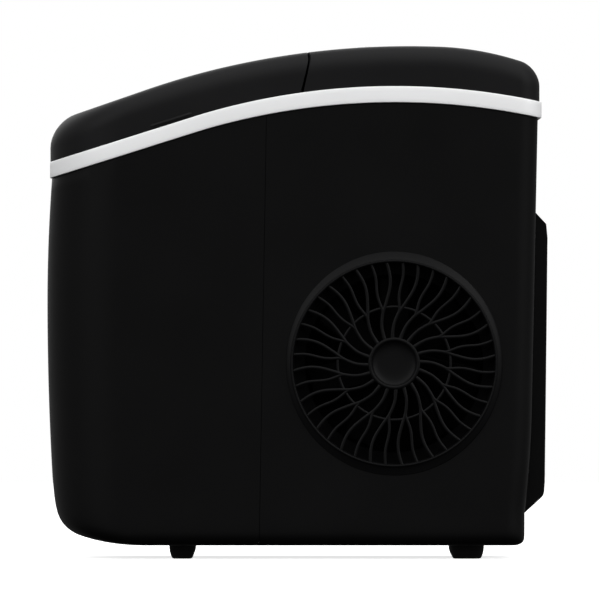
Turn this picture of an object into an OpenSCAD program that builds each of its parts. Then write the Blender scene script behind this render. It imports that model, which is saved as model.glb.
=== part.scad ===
// Countertop bullet-ice maker: outer housing, hinged lid, ice chamber and refrigeration set.
// Millimetres. +Z is up, the front faces -Y, the fan grille faces +X.
// The origin is under the middle of the machine, on the surface it stands on.

/* [Overall] */
// Height of the crown of the top surface
height = 375; // [373:1:378]
// Depth from the bulge of the front to the rear vent cover
depth = 367; // [365:1:369]
// Width over the trim band
width = 289; // [287:1:291]
// Wall thickness of the plastic shells
wall = 2.5; // [2:0.5:3]

/* [Trim and joints between the shells] */
// Height of the trim band
band_h = 11.8; // [10:0.2:13]
// How far the trim band stands proud of the housing
band_proud = 1.3; // [1:0.1:1.6]
// Gap between the lid and its neighbours
lid_gap = 0.4; // [0.3:0.1:0.6]

/* [Fan grille] */
// Radius of the grille opening
grille_r = 74; // [72:1:75]
// Number of spokes in the inner ring; the outer ring has twice as many
grille_spokes = 20; // [16:2:24]
// How far the bezel stands out of the side of the housing
bezel_proud = 3.3; // [2:0.1:3.5]

/* [Ice making] */
// Number of freezing fingers on the evaporator
fingers = 8; // [6:1:9]
// Distance between two fingers
finger_pitch = 20; // [17:1:20]
// Inside radius of the tilting water tray
tray_r = 27; // [26:0.5:28]

/* [Hidden] */
$fn = 48;
half_w = width / 2 - band_proud;
front_bulge_y = -depth / 2;
rear_y_max = depth / 2;

// crown and band curves, seen from the side
crown_y = 82;
crown_r = 600;
top_slope_y = -115;
top_slope = 0.34;
rear_fall = 5.3;
rear_fall_y = 105;
rear_fall_len = 58;
band_crown_y = 72;
band_crown_z = height - 29.4;
band_r = 500;
band_slope_y = -75;
band_slope = 0.31;

// housing outline, seen from the side
under_z = 9.8;
bulge_z = 189;
toe = [-154.5, 37.8];
toe_r = 22.5;
rear_top_y = 176.3;
rear_lean = 0.0205;
rear_tuck_z = 110;
rear_tuck = 6.4e-4;
band_front_y = -181.6;
band_rear_y = 178.8;
shell_drop = 0.2;
lid_front_y = -181.3;
lid_nose = [-161, 303.5];
lid_nose_r = 20.3;
cover_rear_y = 177.3;
cover_nose = [163.3, 349.8];
front_corner_r = 55;
rear_corner_r = 14;
top_edge = 13;

// lid hinge
hinge_y = 4.8;
hinge_r = 4;
pin_r = 1.3;
ear_r = 2.7;
cover_tip_y = 8.6;
lid_open_gap = 1.2;
ear_x = 93;
ear_w = 10;

// grille and fan
fan_y = 71;
fan_z = 143;
duct_r = 65;
blade_r = 62;
blades = 7;

// ice chamber
tub_hw = 126;
tub_front = -164;
tub_rear = -2;
tub_floor = 46;
tub_wall = 3;
tub_corner_r = 28;
tray_y = -38;
tray_z = 262;
tray_wall = 1.6;
evap_z = 282;
evap_pipe_x = 70;
evap_pipe_z = 295;
pusher_y = -20;
pusher_z = 222;
basket_front = -148;
basket_rear = -72;
basket_floor = 80;
basket_top = 168;
block_x = 109.3;
block_end = tub_hw - tub_wall - 0.3;

// machine compartment
pan_z = under_z + wall + 0.1;
pan_t = 2;
pan_front = -117;
pan_rear = 153;
comp = [-55, 100];
comp_r = 50;
foot_x = 105;
front_foot_y = -84;
rear_foot_y = 124.4;
cable_gland = [-118, 60];
pump_x = -105;
pump_inlet_z = 55;
drain = [-120, 34];
drain_x = -100;

housing_screw_x = 124;
housing_screw_z = [120, 290];
housing_boss = 9;
screw_sink = 2.1;

// control panel
panel_y0 = 29;
panel_y1 = 75;
panel_hw = 72;
button_x = 46;
button_y = 52;
button_r = 8;

// ---------- curves ----------
function arc(c, r, a0, a1, n) = [for (i = [0:n]) let (a = a0 + (a1 - a0) * i / n) c + r * [cos(a), sin(a)]];
function bow(y, zc, yc, r) = zc - r + sqrt(r * r - (y - yc) * (y - yc));
function top_z(y) = y < top_slope_y
  ? bow(top_slope_y, height, crown_y, crown_r) + top_slope * (y - top_slope_y)
  : bow(y, height, crown_y, crown_r) - rear_fall * pow(max(0, y - rear_fall_y) / rear_fall_len, 2);
function band_z(y) = y < band_slope_y
  ? bow(band_slope_y, band_crown_z, band_crown_y, band_r) + band_slope * (y - band_slope_y)
  : bow(y, band_crown_z, band_crown_y, band_r);
function front_y(z) = front_bulge_y + (z < bulge_z ? 2.2e-4 : 4.2e-4) * (z - bulge_z) * (z - bulge_z);
function rear_y(z) = rear_top_y - rear_lean * (band_crown_z - band_h - z)
  - rear_tuck * pow(max(0, rear_tuck_z - z), 2);
function seam_y(z) = -27.8 + 0.017 * z;
function spread(a, b, n) = [for (i = [0:n]) a + (b - a) * i / n];
hinge_z = top_z(hinge_y) - hinge_r;

// ---------- solids from the curves ----------
module side_slab(pts, w) rotate([90, 0, 90]) linear_extrude(height = w, center = true) polygon(pts);
module slab_from(pts, x0, x1) translate([x0, 0, 0]) rotate([90, 0, 90]) linear_extrude(height = x1 - x0) polygon(pts);
module along_x(y, z, x0, x1, r) translate([x0, y, z]) rotate([0, 90, 0]) cylinder(h = x1 - x0, r = r);
module along_y(x, z, y0, y1, r) translate([x, y1, z]) rotate([90, 0, 0]) cylinder(h = y1 - y0, r = r);
module block(lo, hi) translate(lo) cube(hi - lo);

// plan outline with large front corners and small rear ones
module plan(hw, yf, yr, rf, rr, z0 = 0, z1 = 400)
  translate([0, 0, z0]) linear_extrude(height = z1 - z0) polygon(concat(
    arc([hw - rr, yr - rr], rr, 0, 90, 4),
    arc([rr - hw, yr - rr], rr, 90, 180, 4),
    arc([rf - hw, yf + rf], rf, 180, 270, 8),
    arc([hw - rf, yf + rf], rf, 270, 360, 8)));

module housing_plan(t) plan(half_w - t, front_bulge_y + t, cover_rear_y - t, front_corner_r - t, rear_corner_r - t);

function front_outline(t, lift, back) = concat(
  [[seam_y(under_z) + back, under_z + t], [-118, under_z + t]],
  arc(toe, toe_r - t, 263, 180, 5),
  [for (z = [60:45:240]) [front_y(z) + t, z]],
  [[front_y(280) + t, band_z(-180) - band_h + lift]],
  [for (y = spread(-165, -45, 6)) [y, band_z(y) - band_h + lift]],
  [[seam_y(324) + back, band_z(-22.3) - band_h + lift]]);

function rear_outline(t, lift, fore) = concat(
  [[seam_y(under_z) - fore, under_z + t]],
  [[160 - t, under_z + t], [164.4 - t, 11.4 + t], [166.3 - t, 16 + t]],
  [for (z = [33, 60, 85, 110, 253]) [rear_y(z) - t, z]],
  [[rear_y(324) - t, band_z(176) - band_h + lift]],
  [for (y = spread(160, -10, 8)) [y, band_z(y) - band_h + lift]],
  [[seam_y(324) - fore, band_z(-22.3) - band_h + lift]]);

function above_band(y0, y1, gap) = concat(
  [for (y = spread(y0, y1, 18)) [y, band_z(y) + gap]], [[y1, 420], [y0, 420]]);

// the lid's outline; drop lowers its top but keeps its front and rear faces
lid_rear_slope = 0.25;
function lid_outline(t, drop) = concat(
  arc(lid_nose - [0, drop], lid_nose_r - t, 180, 109, 5),
  [for (y = spread(-150, -10, 9)) [y, top_z(y) - t - drop]],
  arc([hinge_y - lid_rear_slope * drop, hinge_z - drop], hinge_r - t, 90, -10, 6),
  [for (end = lid_rear_end(t)) [end[0] - lid_rear_slope * (end[1] - 341), 341]],
  [[lid_front_y + t, 270]]);
function lid_rear_end(t) = [[hinge_y, hinge_z] + (hinge_r - t) * [cos(-10), sin(-10)]];

// the same for the fixed rear cover
function cover_front_y(t, z) = 3.6 + t + 0.224 * (z - 338);
function cover_outline(t, drop) = concat(
  [for (z = [338, 365.5 - t - drop]) [cover_front_y(t, z), z]],
  [[cover_tip_y + t, top_z(cover_tip_y) - t - drop]],
  [for (y = spread(25, 158, 8)) [y, top_z(y) - t - drop]],
  arc(cover_nose - [0, drop], 14 - t, 78, 0, 5),
  [[cover_rear_y - t, 325]]);

// a solid through matching outlines that stand across the machine at each x
module loft(xs, outlines) {
  n = len(outlines[0]);
  m = len(xs);
  polyhedron(
    points = [for (i = [0:m - 1], p = outlines[i]) [xs[i], p[0], p[1]]],
    faces = concat(
      [[for (k = [n - 1:-1:0]) k]], [[for (k = [0:n - 1]) (m - 1) * n + k]],
      [for (i = [0:m - 2], k = [0:n - 1], half = [0, 1])
        let (a = i * n, b = a + n, j = (k + 1) % n) half == 0 ? [a + k, a + j, b + j] : [a + k, b + j, b + k]]));
}

// the rounded edge along both sides: angles from the side up to the top
edge_steps = [0, 30, 60, 90];
function edge_x(t, a) = half_w - t - (top_edge - t) * (1 - cos(a));
function edge_drop(t, a) = (top_edge - t) * (1 - sin(a));
edge_both = concat([for (a = edge_steps) [-1, a]], [for (i = [3:-1:0]) [1, edge_steps[i]]]);
module lid_form(t) loft([for (e = edge_both) e[0] * edge_x(t, e[1])],
  [for (e = edge_both) lid_outline(t, edge_drop(t, e[1]))]);
module cover_form(t) loft([for (e = edge_both) e[0] * edge_x(t, e[1])],
  [for (e = edge_both) cover_outline(t, edge_drop(t, e[1]))]);

// tube swept along a smoothed route
function mix(a, b, u) = a + (b - a) * u;
function rounded(p, n) = concat([p[0]],
  [for (i = [1:len(p) - 2], k = [0:n])
    let (u = k / n, a = mix(p[i], p[i - 1], 0.45), b = mix(p[i], p[i + 1], 0.45))
    mix(mix(a, p[i], u), mix(p[i], b, u), u)],
  [p[len(p) - 1]]);
function unit(v) = v / norm(v);
function tangent(p, i) = unit(p[min(i + 1, len(p) - 1)] - p[max(i - 1, 0)]);
function carry(u, t) = unit(u - (u * t) * t);
function normals(p, i, u) = i == len(p) ? [] : let (v = carry(u, tangent(p, i))) concat([v], normals(p, i + 1, v));
module swept(route, r, sides = 8, n = 4) {
  p = rounded(route, n);
  t0 = tangent(p, 0);
  u = normals(p, 0, abs(t0[2]) < 0.8 ? [0, 0, 1] : [1, 0, 0]);
  m = len(p);
  pts = [for (i = [0:m - 1], k = [0:sides - 1])
    let (a = 360 * k / sides, t = tangent(p, i)) p[i] + r * (cos(a) * u[i] + sin(a) * cross(t, u[i]))];
  sides_f = [for (i = [0:m - 2], k = [0:sides - 1]) let (k1 = (k + 1) % sides, a = i * sides, b = a + sides)
    [a + k, b + k, b + k1, a + k1]];
  polyhedron(points = pts, faces = concat(
    [[for (k = [0:sides - 1]) k]], [[for (k = [sides - 1:-1:0]) (m - 1) * sides + k]], sides_f));
}

// ---------- housing ----------
module front_shell() color([0.07, 0.07, 0.075]) difference() {
  intersection() {
    side_slab(front_outline(0, -shell_drop, 0), width);
    housing_plan(0);
  }
  intersection() {
    side_slab(front_outline(wall, 40, 10), width);
    housing_plan(wall);
  }
  block([-120, -110, 0], [120, 0, 20]);
  along_x(drain[0], drain[1], -150, -130, 15.5);
}

module rear_shell() color([0.07, 0.07, 0.075]) difference() {
  union() {
    difference() {
      intersection() {
        side_slab(rear_outline(0, -shell_drop, 0), width);
        housing_plan(0);
      }
      intersection() {
        side_slab(rear_outline(wall, 40, 10), width);
        housing_plan(wall);
      }
    }
    for (x = [-housing_screw_x, housing_screw_x], z = housing_screw_z)
      along_y(x, z, rear_y(z) - housing_boss, rear_y(z) - 1, 5.5);
  }
  block([-120, -60, 0], [120, 146, 20]);
  along_x(fan_y, fan_z, 100, 160, grille_r);
  block([-86, 150, 66], [86, 190, 236]);
  along_y(cable_gland[0], cable_gland[1], 150, 190, 8.2);
  for (x = [-vent_screw_x, vent_screw_x], z = vent_screw_z) along_y(x, z, 150, 190, 1.7);
  for (x = [-housing_screw_x, housing_screw_x], z = housing_screw_z) {
    along_y(x, z, 150, 190, 1.8);
    along_y(x, z, rear_y(z) - screw_sink, 190, 3.8);
  }
}

module trim_band() color([0.86, 0.87, 0.87]) intersection() {
  side_slab(concat(
    [for (y = spread(-185, 185, 20)) [y, band_z(y) - band_h]],
    [for (y = spread(185, -185, 20)) [y, band_z(y)]]), width + 10);
  difference() {
    plan(width / 2, band_front_y, band_rear_y, front_corner_r, rear_corner_r + 1);
    plan(width / 2 - 6, band_front_y + 6, band_rear_y - 6, front_corner_r - 6, rear_corner_r - 5, -1, 401);
  }
}

module base_pan() color([0.55, 0.56, 0.58]) difference() {
  union() {
    block([-134, pan_front, pan_z], [134, pan_rear, pan_z + pan_t]);
    block([-134, pan_rear - 2, pan_z], [134, pan_rear, pan_z + 10]);
    for (x = [-134, 132]) block([x, 8, pan_z], [x + 2, pan_rear, pan_z + 10]);
  }
  for (x = [-foot_x, foot_x], y = [front_foot_y, rear_foot_y])
    translate([x, y, 0]) cylinder(h = 30, r = 2.2);
}

module rear_top_cover() color([0.07, 0.07, 0.075]) difference() {
  intersection() {
    cover_form(0);
    housing_plan(0);
    side_slab(above_band(0, 184, 0.05), width);
  }
  intersection() {
    cover_form(wall);
    housing_plan(wall);
  }
  along_x(hinge_y, hinge_z, -width, width, hinge_r + lid_open_gap);
  block([-panel_hw - 0.3, panel_y0 - 0.3, 355], [panel_hw + 0.3, panel_y1 + 0.3, 400]);
}

module lid_shell() color([0.075, 0.075, 0.08]) difference() {
  union() {
    difference() {
      intersection() {
        lid_form(0);
        plan(half_w, lid_front_y, 40, front_corner_r - 1, 5);
        side_slab(above_band(-190, 20, lid_gap), width);
      }
      intersection() {
        lid_form(wall);
        plan(half_w - wall, lid_front_y + wall, hinge_y, front_corner_r - 1 - wall, 2);
      }
    }
    along_x(hinge_y, hinge_z, -122, 122, hinge_r - 0.3);
    for (s = [-1, 1]) lid_lip(s);
  }
  window_prism(0.3);
  for (s = [-1, 1]) {
    x0 = s > 0 ? ear_x - 0.8 : -ear_x - ear_w - 0.8;
    along_x(hinge_y, hinge_z, x0, x0 + ear_w + 1.6, ear_r + 0.4);
    block([x0, hinge_y - 7, 338], [x0 + ear_w + 1.6, 14, hinge_z]);
    along_x(hinge_y, hinge_z, s > 0 ? 82 : -114, s > 0 ? 114 : -82, pin_r);
  }
}

// finger lip at the lower edge of the lid's side
module lid_lip(s) slab_from([
  [-107, band_z(-107) + 1.9], [-76.5, band_z(-76.5) + 1.9],
  [-76.5, band_z(-76.5) + 3.6], [-107, band_z(-107) + 3.6]],
  s > 0 ? half_w - 1 : -half_w - 1.2, s > 0 ? half_w + 1.2 : 1 - half_w);

module window_prism(gap) block([-88 - gap, -142 - gap, 300], [88 + gap, -32 + gap, 400]);

module lid_window() color([0.2, 0.2, 0.22, 0.6]) intersection() {
  window_prism(0);
  side_slab(concat(
    [for (y = spread(-150, -20, 10)) [y, top_z(y) - wall + 0.2]],
    [for (y = spread(-20, -150, 10)) [y, top_z(y) - 0.1]]), 200);
}

module hinge_brackets() color([0.12, 0.12, 0.125]) for (x0 = [-ear_x - ear_w, ear_x]) difference() {
  union() {
    along_x(hinge_y, hinge_z, x0, x0 + ear_w, ear_r);
    slab_from([[hinge_y - ear_r, hinge_z], [-1.3, 351], [0.4, 343.5], [4.4, 343.5], [5.9, 350],
      [hinge_y + 0.4, 356], [hinge_y + 0.4, hinge_z]], x0, x0 + ear_w);
  }
  along_x(hinge_y, hinge_z, x0 - 1, x0 + ear_w + 1, pin_r + 0.05);
}

module hinge_pins() color([0.7, 0.7, 0.72]) for (x0 = [-112, 84])
  along_x(hinge_y, hinge_z, x0, x0 + 28, pin_r - 0.01);

// ---------- fan grille and rear vent ----------
module fan_grille() color([0.1, 0.1, 0.105]) translate([0, fan_y, fan_z]) rotate([0, 90, 0]) {
  rotate_extrude($fn = 96) polygon([
    [grille_r - 2, half_w - 2], [grille_r - 0.2, half_w - 2], [grille_r - 0.2, half_w + 0.05],
    [grille_r + 5.5, half_w + 0.05], [grille_r + 1.8, half_w + bezel_proud], [grille_r - 0.5, half_w + bezel_proud],
    [grille_r - 2, half_w + bezel_proud - 1.2]]);
  for (ring = [[15.7, 19.3, 2.6], [40.3, 42.2, 2]]) translate([0, 0, half_w - 1]) difference() {
    cylinder(h = ring[2], r = ring[1]);
    translate([0, 0, -1]) cylinder(h = 6, r = ring[0]);
  }
  translate([0, 0, half_w - 1]) cylinder(h = 1.2, r = 16);
  for (i = [0:grille_spokes - 1]) rotate([0, 0, i * 360 / grille_spokes])
    translate([17.5, -0.9, half_w - 0.8]) cube([23.5, 1.8, 2.2]);
  for (i = [0:2 * grille_spokes - 1]) rotate([0, 0, (i + 0.5) * 180 / grille_spokes])
    translate([41.5, -0.8, half_w - 0.8]) cube([grille_r - 42.5, 1.6, 2.2]);
}

vent_hw = 104;
vent_gap = 0.4;
vent_screw_x = 94;
vent_screw_z = [64, 236];
function vent_outline(t) = [
  [rear_y(33) + vent_gap, 33.6 + t], [rear_y_max - 4 - t, 45.2 + t], [rear_y_max - 2.4 - t, 49.5],
  [rear_y_max - 2 - t, 62], [rear_y_max - 0.7 - t, 178], [rear_y_max - t, 235],
  [rear_y_max - 1 - t, 245 - t], [rear_y(253) + vent_gap, 253 - t]];

module rear_vent_cover() color([0.065, 0.065, 0.07]) difference() {
  union() {
    difference() {
      side_slab(concat(vent_outline(0), [for (z = [200, 110, 85, 60]) [rear_y(z) + vent_gap, z]]), 2 * vent_hw);
      side_slab(concat([for (p = vent_outline(2)) p + [0, p[1] < 100 ? 1 : -1]], [[160, 240], [150, 40]]),
        2 * (vent_hw - 3));
    }
    for (x = [-vent_screw_x, vent_screw_x], z = vent_screw_z) along_y(x, z, rear_y(z) + 0.6, rear_y_max - 2.2, 4.5);
  }
  for (z = [70:12:226], x = [-76, 4]) block([x, 160, z], [x + 72, 190, z + 5]);
  for (x = [-vent_screw_x, vent_screw_x], z = vent_screw_z) along_y(x, z, 160, rear_y_max - 3, 1.6);
}

module vent_screws() color([0.25, 0.25, 0.26]) for (x = [-vent_screw_x, vent_screw_x], z = vent_screw_z) {
  along_y(x, z, rear_y(z) - wall - 2.4, rear_y(z) - wall - 0.3, 3.6);
  along_y(x, z, rear_y(z) - wall - 0.4, rear_y_max - 4, 1.5);
}

module housing_screws() color([0.25, 0.25, 0.26]) for (x = [-housing_screw_x, housing_screw_x], z = housing_screw_z) {
  along_y(x, z, rear_y(z) - screw_sink + 0.05, rear_y(z) - 0.2, 3.4);
  along_y(x, z, rear_y(z) - housing_boss, rear_y(z) - screw_sink + 0.1, 1.6);
}

module front_feet() color([0.05, 0.05, 0.05]) for (x = [-foot_x, foot_x]) foot(x, front_foot_y, 9.5);
module rear_feet() color([0.05, 0.05, 0.05]) for (x = [-foot_x, foot_x]) foot(x, rear_foot_y, 12.5);
module foot(x, y, r) translate([x, y, 0]) rotate_extrude() polygon([
  [2.3, 3.4], [4.6, 3.4], [4.6, 0.6], [5.2, 0], [r - 1.4, 0], [r - 0.4, 0.5], [r, 1.6], [r, pan_z - 0.05], [2.3, pan_z - 0.05]]);

module foot_screws() color([0.6, 0.6, 0.62]) for (x = [-foot_x, foot_x], y = [front_foot_y, rear_foot_y])
  translate([x, y, 0]) {
    translate([0, 0, 1.2]) cylinder(h = 2.2, r = 4);
    translate([0, 0, 3.3]) cylinder(h = 15, r = 2);
  }

// ---------- control panel ----------
module control_panel() color([0.03, 0.03, 0.035]) difference() {
  union() {
    side_slab(concat(
      [for (y = spread(panel_y0, panel_y1, 6)) [y, top_z(y) - wall - 0.3]],
      [for (y = spread(panel_y1, panel_y0, 6)) [y, top_z(y) + 0.3]]), 2 * panel_hw);
    for (x = [-62, 62], y = [panel_y0 + 6, panel_y1 - 6]) translate([x, y, 361.7])
      cylinder(h = top_z(y) - wall - 361.7, r = 2.5);
  }
  for (x = [-button_x, button_x]) translate([x, button_y, 350]) cylinder(h = 40, r = button_r + 0.35);
  for (x = [-20:10:20]) translate([x, button_y, 350]) cylinder(h = 40, r = 2.6);
}

module button(x) {
  top = top_z(button_y) + 1;
  translate([x, button_y, top - 5.2]) cylinder(h = 5.2, r = button_r);
  translate([x, button_y, top - 6.4]) cylinder(h = 1.3, r = button_r + 2);
}
module power_button() color([0.75, 0.76, 0.78]) button(-button_x);
module size_button() color([0.75, 0.76, 0.78]) button(button_x);

module indicator_lenses() color([0.6, 0.8, 0.9]) for (x = [-20:10:20])
  translate([x, button_y, top_z(button_y) - 3]) cylinder(h = 3.3, r = 2.5);

module panel_board() color([0.1, 0.35, 0.2]) {
  block([-66, panel_y0 + 2, 360], [66, panel_y1 - 2, 361.6]);
  for (x = [-button_x, button_x]) translate([x, button_y, 361.5]) cylinder(h = 5.3, r = 2);
  for (x = [-20:10:20]) translate([x, button_y, 361.5]) cylinder(h = 6, r = 2.2);
}

// ---------- ice chamber ----------
function tub_rim(y0, y1, z) = [for (y = spread(y0, y1, 10)) [y, band_z(y) + z]];

module inner_liner() color([0.82, 0.84, 0.86]) {
  liner_walls();
  liner_posts();
}

module liner_walls() difference() {
  union() {
    intersection() {
      plan(tub_hw, tub_front, tub_rear, tub_corner_r, 8, tub_floor, 420);
      side_slab(concat([[tub_rear, 0], [tub_front, 0]], tub_rim(tub_front, tub_rear, -2)), 300);
    }
    intersection() {
      plan(half_w + band_proud - 6.3, band_front_y + 6.3, tub_rear, front_corner_r - 6.3, 4);
      side_slab(concat(tub_rim(-178, tub_rear, -4.2), [for (y = spread(tub_rear, -178, 10)) [y, band_z(y) - 2]]), 300);
    }
  }
  plan(tub_hw - tub_wall, tub_front + tub_wall, tub_rear - tub_wall, tub_corner_r - tub_wall, 5,
    tub_floor + tub_wall, 420);
  for (x = [-evap_pipe_x, evap_pipe_x]) along_y(x, evap_pipe_z, -20, 20, 4.6);
  along_y(-87, 300, -20, 20, 4.4);
  along_y(pump_x, pump_inlet_z, -20, 20, 5.4);
  translate([drain_x, drain[0], 0]) cylinder(h = 60, r = 5);
}

module liner_posts() for (x = [-106, 94], y = [-146, -84])
  block([x, y, tub_floor + tub_wall - 0.2], [x + 12, y + 8, basket_floor]);

module insulation() color([0.93, 0.86, 0.6]) difference() {
  intersection() {
    plan(138.5, -174, 0, 48, 4, 30, 420);
    side_slab(concat([[0, 0], [-174, 0]], tub_rim(-174, 0, -13)), 300);
    side_slab(front_outline(wall + 1.5, 20, 40), 300);
  }
  plan(tub_hw + 0.3, tub_front - 0.3, 10, tub_corner_r, 2, tub_floor - 0.3, 420);
  block([-150, drain[0] - 20, 0], [drain_x + 12, drain[0] + 20, tub_floor + 8]);
}

module ice_basket() color([0.9, 0.92, 0.95, 0.8]) difference() {
  union() {
    block([-112, basket_front, basket_floor], [112, basket_rear, basket_top]);
    block([-114, basket_front - 2, basket_top - 3], [114, basket_rear, basket_top]);
    block([-32, basket_front - 2, basket_top - 1], [-26, basket_front + 2, basket_top + 20]);
    block([26, basket_front - 2, basket_top - 1], [32, basket_front + 2, basket_top + 20]);
    block([-32, basket_front - 2, basket_top + 15], [32, basket_front + 2, basket_top + 21]);
  }
  block([-110, basket_front + 2, basket_floor + 2], [110, basket_rear - 2, basket_top + 1]);
  block([-116, basket_rear - 3, 149], [116, basket_rear + 1, basket_top + 1]);
  for (x = [-96:16:96]) block([x - 4, basket_front - 5, 92], [x + 4, basket_front + 3, 150]);
  for (x = [-96:16:96]) block([x - 3, -138, basket_floor - 1], [x + 3, -84, basket_floor + 3]);
  for (s = [-1, 1], y = [-138:14:-82]) block([s * 111 - 2, y - 3.5, 92], [s * 111 + 2, y + 3.5, 150]);
}

module ice_rack() color([0.86, 0.88, 0.9]) difference() {
  slab_from([[-69.5, 150], [-8.6, 156], [-8.6, 158], [-69.5, 152]], -block_end, block_end);
  for (x = [-104:13:104]) block([x - 3, -60, 140], [x + 3, -16, 170]);
}

module water_tray() color([0.88, 0.9, 0.92]) {
  difference() {
    along_x(tray_y, tray_z, -95, 95, tray_r + tray_wall);
    along_x(tray_y, tray_z, -92, 92, tray_r);
    block([-100, tray_y - 40, tray_z], [100, tray_y + 40, tray_z + 40]);
  }
  along_x(tray_y, tray_z, -98, -93, 8);
  along_x(tray_y, tray_z, 93, 98, 8);
  along_x(tray_y, tray_z, -118, -97, 3);
  along_x(tray_y, tray_z, 97, 118, 3);
}

module side_block(x0, x1, y0) difference() {
  block([x0, y0, 211], [x1, -8.6, 281]);
  along_x(tray_y, tray_z, x0 - 1, x1 + 1, 3.06);
  along_x(pusher_y, pusher_z, x0 - 1, x1 + 1, 3.06);
}
module tray_motor() color([0.2, 0.2, 0.22]) side_block(block_x, block_end, -60);
module tray_bearing() color([0.8, 0.82, 0.84]) side_block(-block_end, -block_x, -52);

module ice_pusher() color([0.9, 0.92, 0.94]) {
  along_x(pusher_y, pusher_z, -118, 118, 3);
  slab_from([[pusher_y - 1.2, pusher_z], [pusher_y + 1.2, pusher_z], [pusher_y + 1.2, pusher_z - 46],
    [pusher_y - 6, pusher_z - 57], [pusher_y - 8, pusher_z - 56], [pusher_y - 1.2, pusher_z - 45]], -100, 100);
}

finger_len = 42;
finger_r = 5;
module evaporator() color([0.85, 0.86, 0.88]) difference() {
  union() {
    block([-80, tray_y - 6, evap_z], [80, tray_y + 6, evap_z + 18]);
    for (i = [0:fingers - 1]) translate([(i - (fingers - 1) / 2) * finger_pitch, tray_y, evap_z - finger_len])
      rotate_extrude() polygon(concat([[0, finger_len + 1]], [[0, 0]],
        arc([0, 5], finger_r, -90, 0, 6), [[finger_r, finger_len + 1]]));
    for (x = [-evap_pipe_x, evap_pipe_x]) along_y(x, evap_pipe_z, tray_y, 8, 4);
  }
  along_x(tray_y, evap_pipe_z, -81, -60, 2.5);
}

module evaporator_bracket() color([0.6, 0.62, 0.65]) {
  block([-52, tray_y - 6, evap_z + 18.1], [52, -5.4, evap_z + 20]);
  block([-52, -7.2, 274], [52, -5.4, evap_z + 20]);
}

module ice_sensors() color([0.1, 0.1, 0.11]) for (s = [-1, 1])
  along_x(-112, 236, s > 0 ? 117 : -block_end, s > 0 ? block_end : -117, 6);

module float_stem() color([0.85, 0.87, 0.9]) translate([-100, -36, tub_floor + tub_wall]) {
  cylinder(h = 46, r = 2.5);
  translate([0, 0, 44]) cylinder(h = 3, r = 6);
  cylinder(h = 3, r = 6);
}

module level_float() color([0.95, 0.95, 0.95]) translate([-100, -36, tub_floor + tub_wall + 3.4]) difference() {
  cylinder(h = 16, r = 11);
  translate([0, 0, -1]) cylinder(h = 18, r = 2.9);
}

module drain_port() color([0.3, 0.3, 0.32]) difference() {
  union() {
    translate([drain_x, drain[0], drain[1] - 6]) cylinder(h = tub_floor - drain[1] + 6, r = 8);
    along_x(drain[0], drain[1], -136, drain_x, 7);
    along_x(drain[0], drain[1], -137, -134.5, 18);
  }
  along_x(drain[0], drain[1], -140, drain_x, 5);
  translate([drain_x, drain[0], drain[1]]) cylinder(h = 30, r = 5);
}

module drain_cap() color([0.13, 0.13, 0.14]) {
  difference() {
    along_x(drain[0], drain[1], -half_w, -137.6, 14.6);
    for (s = [-1, 1]) intersection() {
      along_x(drain[0], drain[1], -half_w - 1, -half_w + 3.4, 12.6);
      block([-150, drain[0] - 20, drain[1] + (s > 0 ? 2.2 : -20)], [-100, drain[0] + 20, drain[1] + (s > 0 ? 20 : -2.2)]);
    }
  }
  along_x(drain[0], drain[1], -138, -126, 4.6);
}

// ---------- machine compartment ----------
module bulkhead() color([0.6, 0.61, 0.63]) difference() {
  block([-137.5, 0.6, pan_z + pan_t + 0.1], [137.5, 2.6, 331]);
  for (x = [-evap_pipe_x, evap_pipe_x]) along_y(x, evap_pipe_z, -5, 10, 5);
  along_y(-87, 300, -5, 10, 5);
  along_y(pump_x, pump_inlet_z, -5, 10, 6);
}

function stub(a, d) = [comp[0] + d * cos(a), comp[1] + d * sin(a), 112];
mount_spots = [for (sx = [-1, 1], sy = [-1, 1]) [comp[0] + sx * 40, comp[1] + sy * 40]];

module compressor() color([0.05, 0.05, 0.055]) {
  difference() {
    block([comp[0] - 49, comp[1] - 49, 27], [comp[0] + 49, comp[1] + 49, 30]);
    for (p = mount_spots) translate([p[0], p[1], 20]) cylinder(h = 20, r = 4.3);
  }
  translate([comp[0], comp[1], 0]) rotate_extrude() polygon(concat(
    [[0, 24]], arc([28, 44], 20, -90, -20, 5), [[comp_r - 2, 50], [comp_r - 2, 84], [comp_r, 85], [comp_r, 90],
    [comp_r - 2, 91]], arc([comp_r - 30, 122], 28, 0, 90, 6), [[0, 154]]));
  for (a = [-30, 20, 200]) translate([comp[0], comp[1], 112]) rotate([0, 90, a])
    cylinder(h = comp_r + (a == 200 ? 5 : 4), r = 3.5);
}

module compressor_mounts() color([0.03, 0.03, 0.03]) for (p = mount_spots)
  translate([p[0], p[1], pan_z + pan_t]) difference() {
    union() {
      cylinder(h = 27 - pan_z - pan_t, r = 9);
      cylinder(h = 30.8 - pan_z - pan_t, r = 4.2);
    }
    translate([0, 0, -1]) cylinder(h = 40, r = 3.1);
  }

module compressor_bolts() color([0.7, 0.7, 0.72]) for (p = mount_spots) translate([p[0], p[1], 0]) {
  translate([0, 0, pan_z + pan_t + 0.1]) cylinder(h = 22, r = 3);
  translate([0, 0, 31]) cylinder(h = 1.2, r = 7.5);
  translate([0, 0, 32]) cylinder(h = 5, r = 5.5, $fn = 6);
}

module terminal_cover() color([0.08, 0.08, 0.085]) difference() {
  block([-122, comp[1] - 21, 56], [-107, comp[1] + 21, 104]);
  block([-120, comp[1] - 19, 58], [-106, comp[1] + 19, 102]);
}

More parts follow.
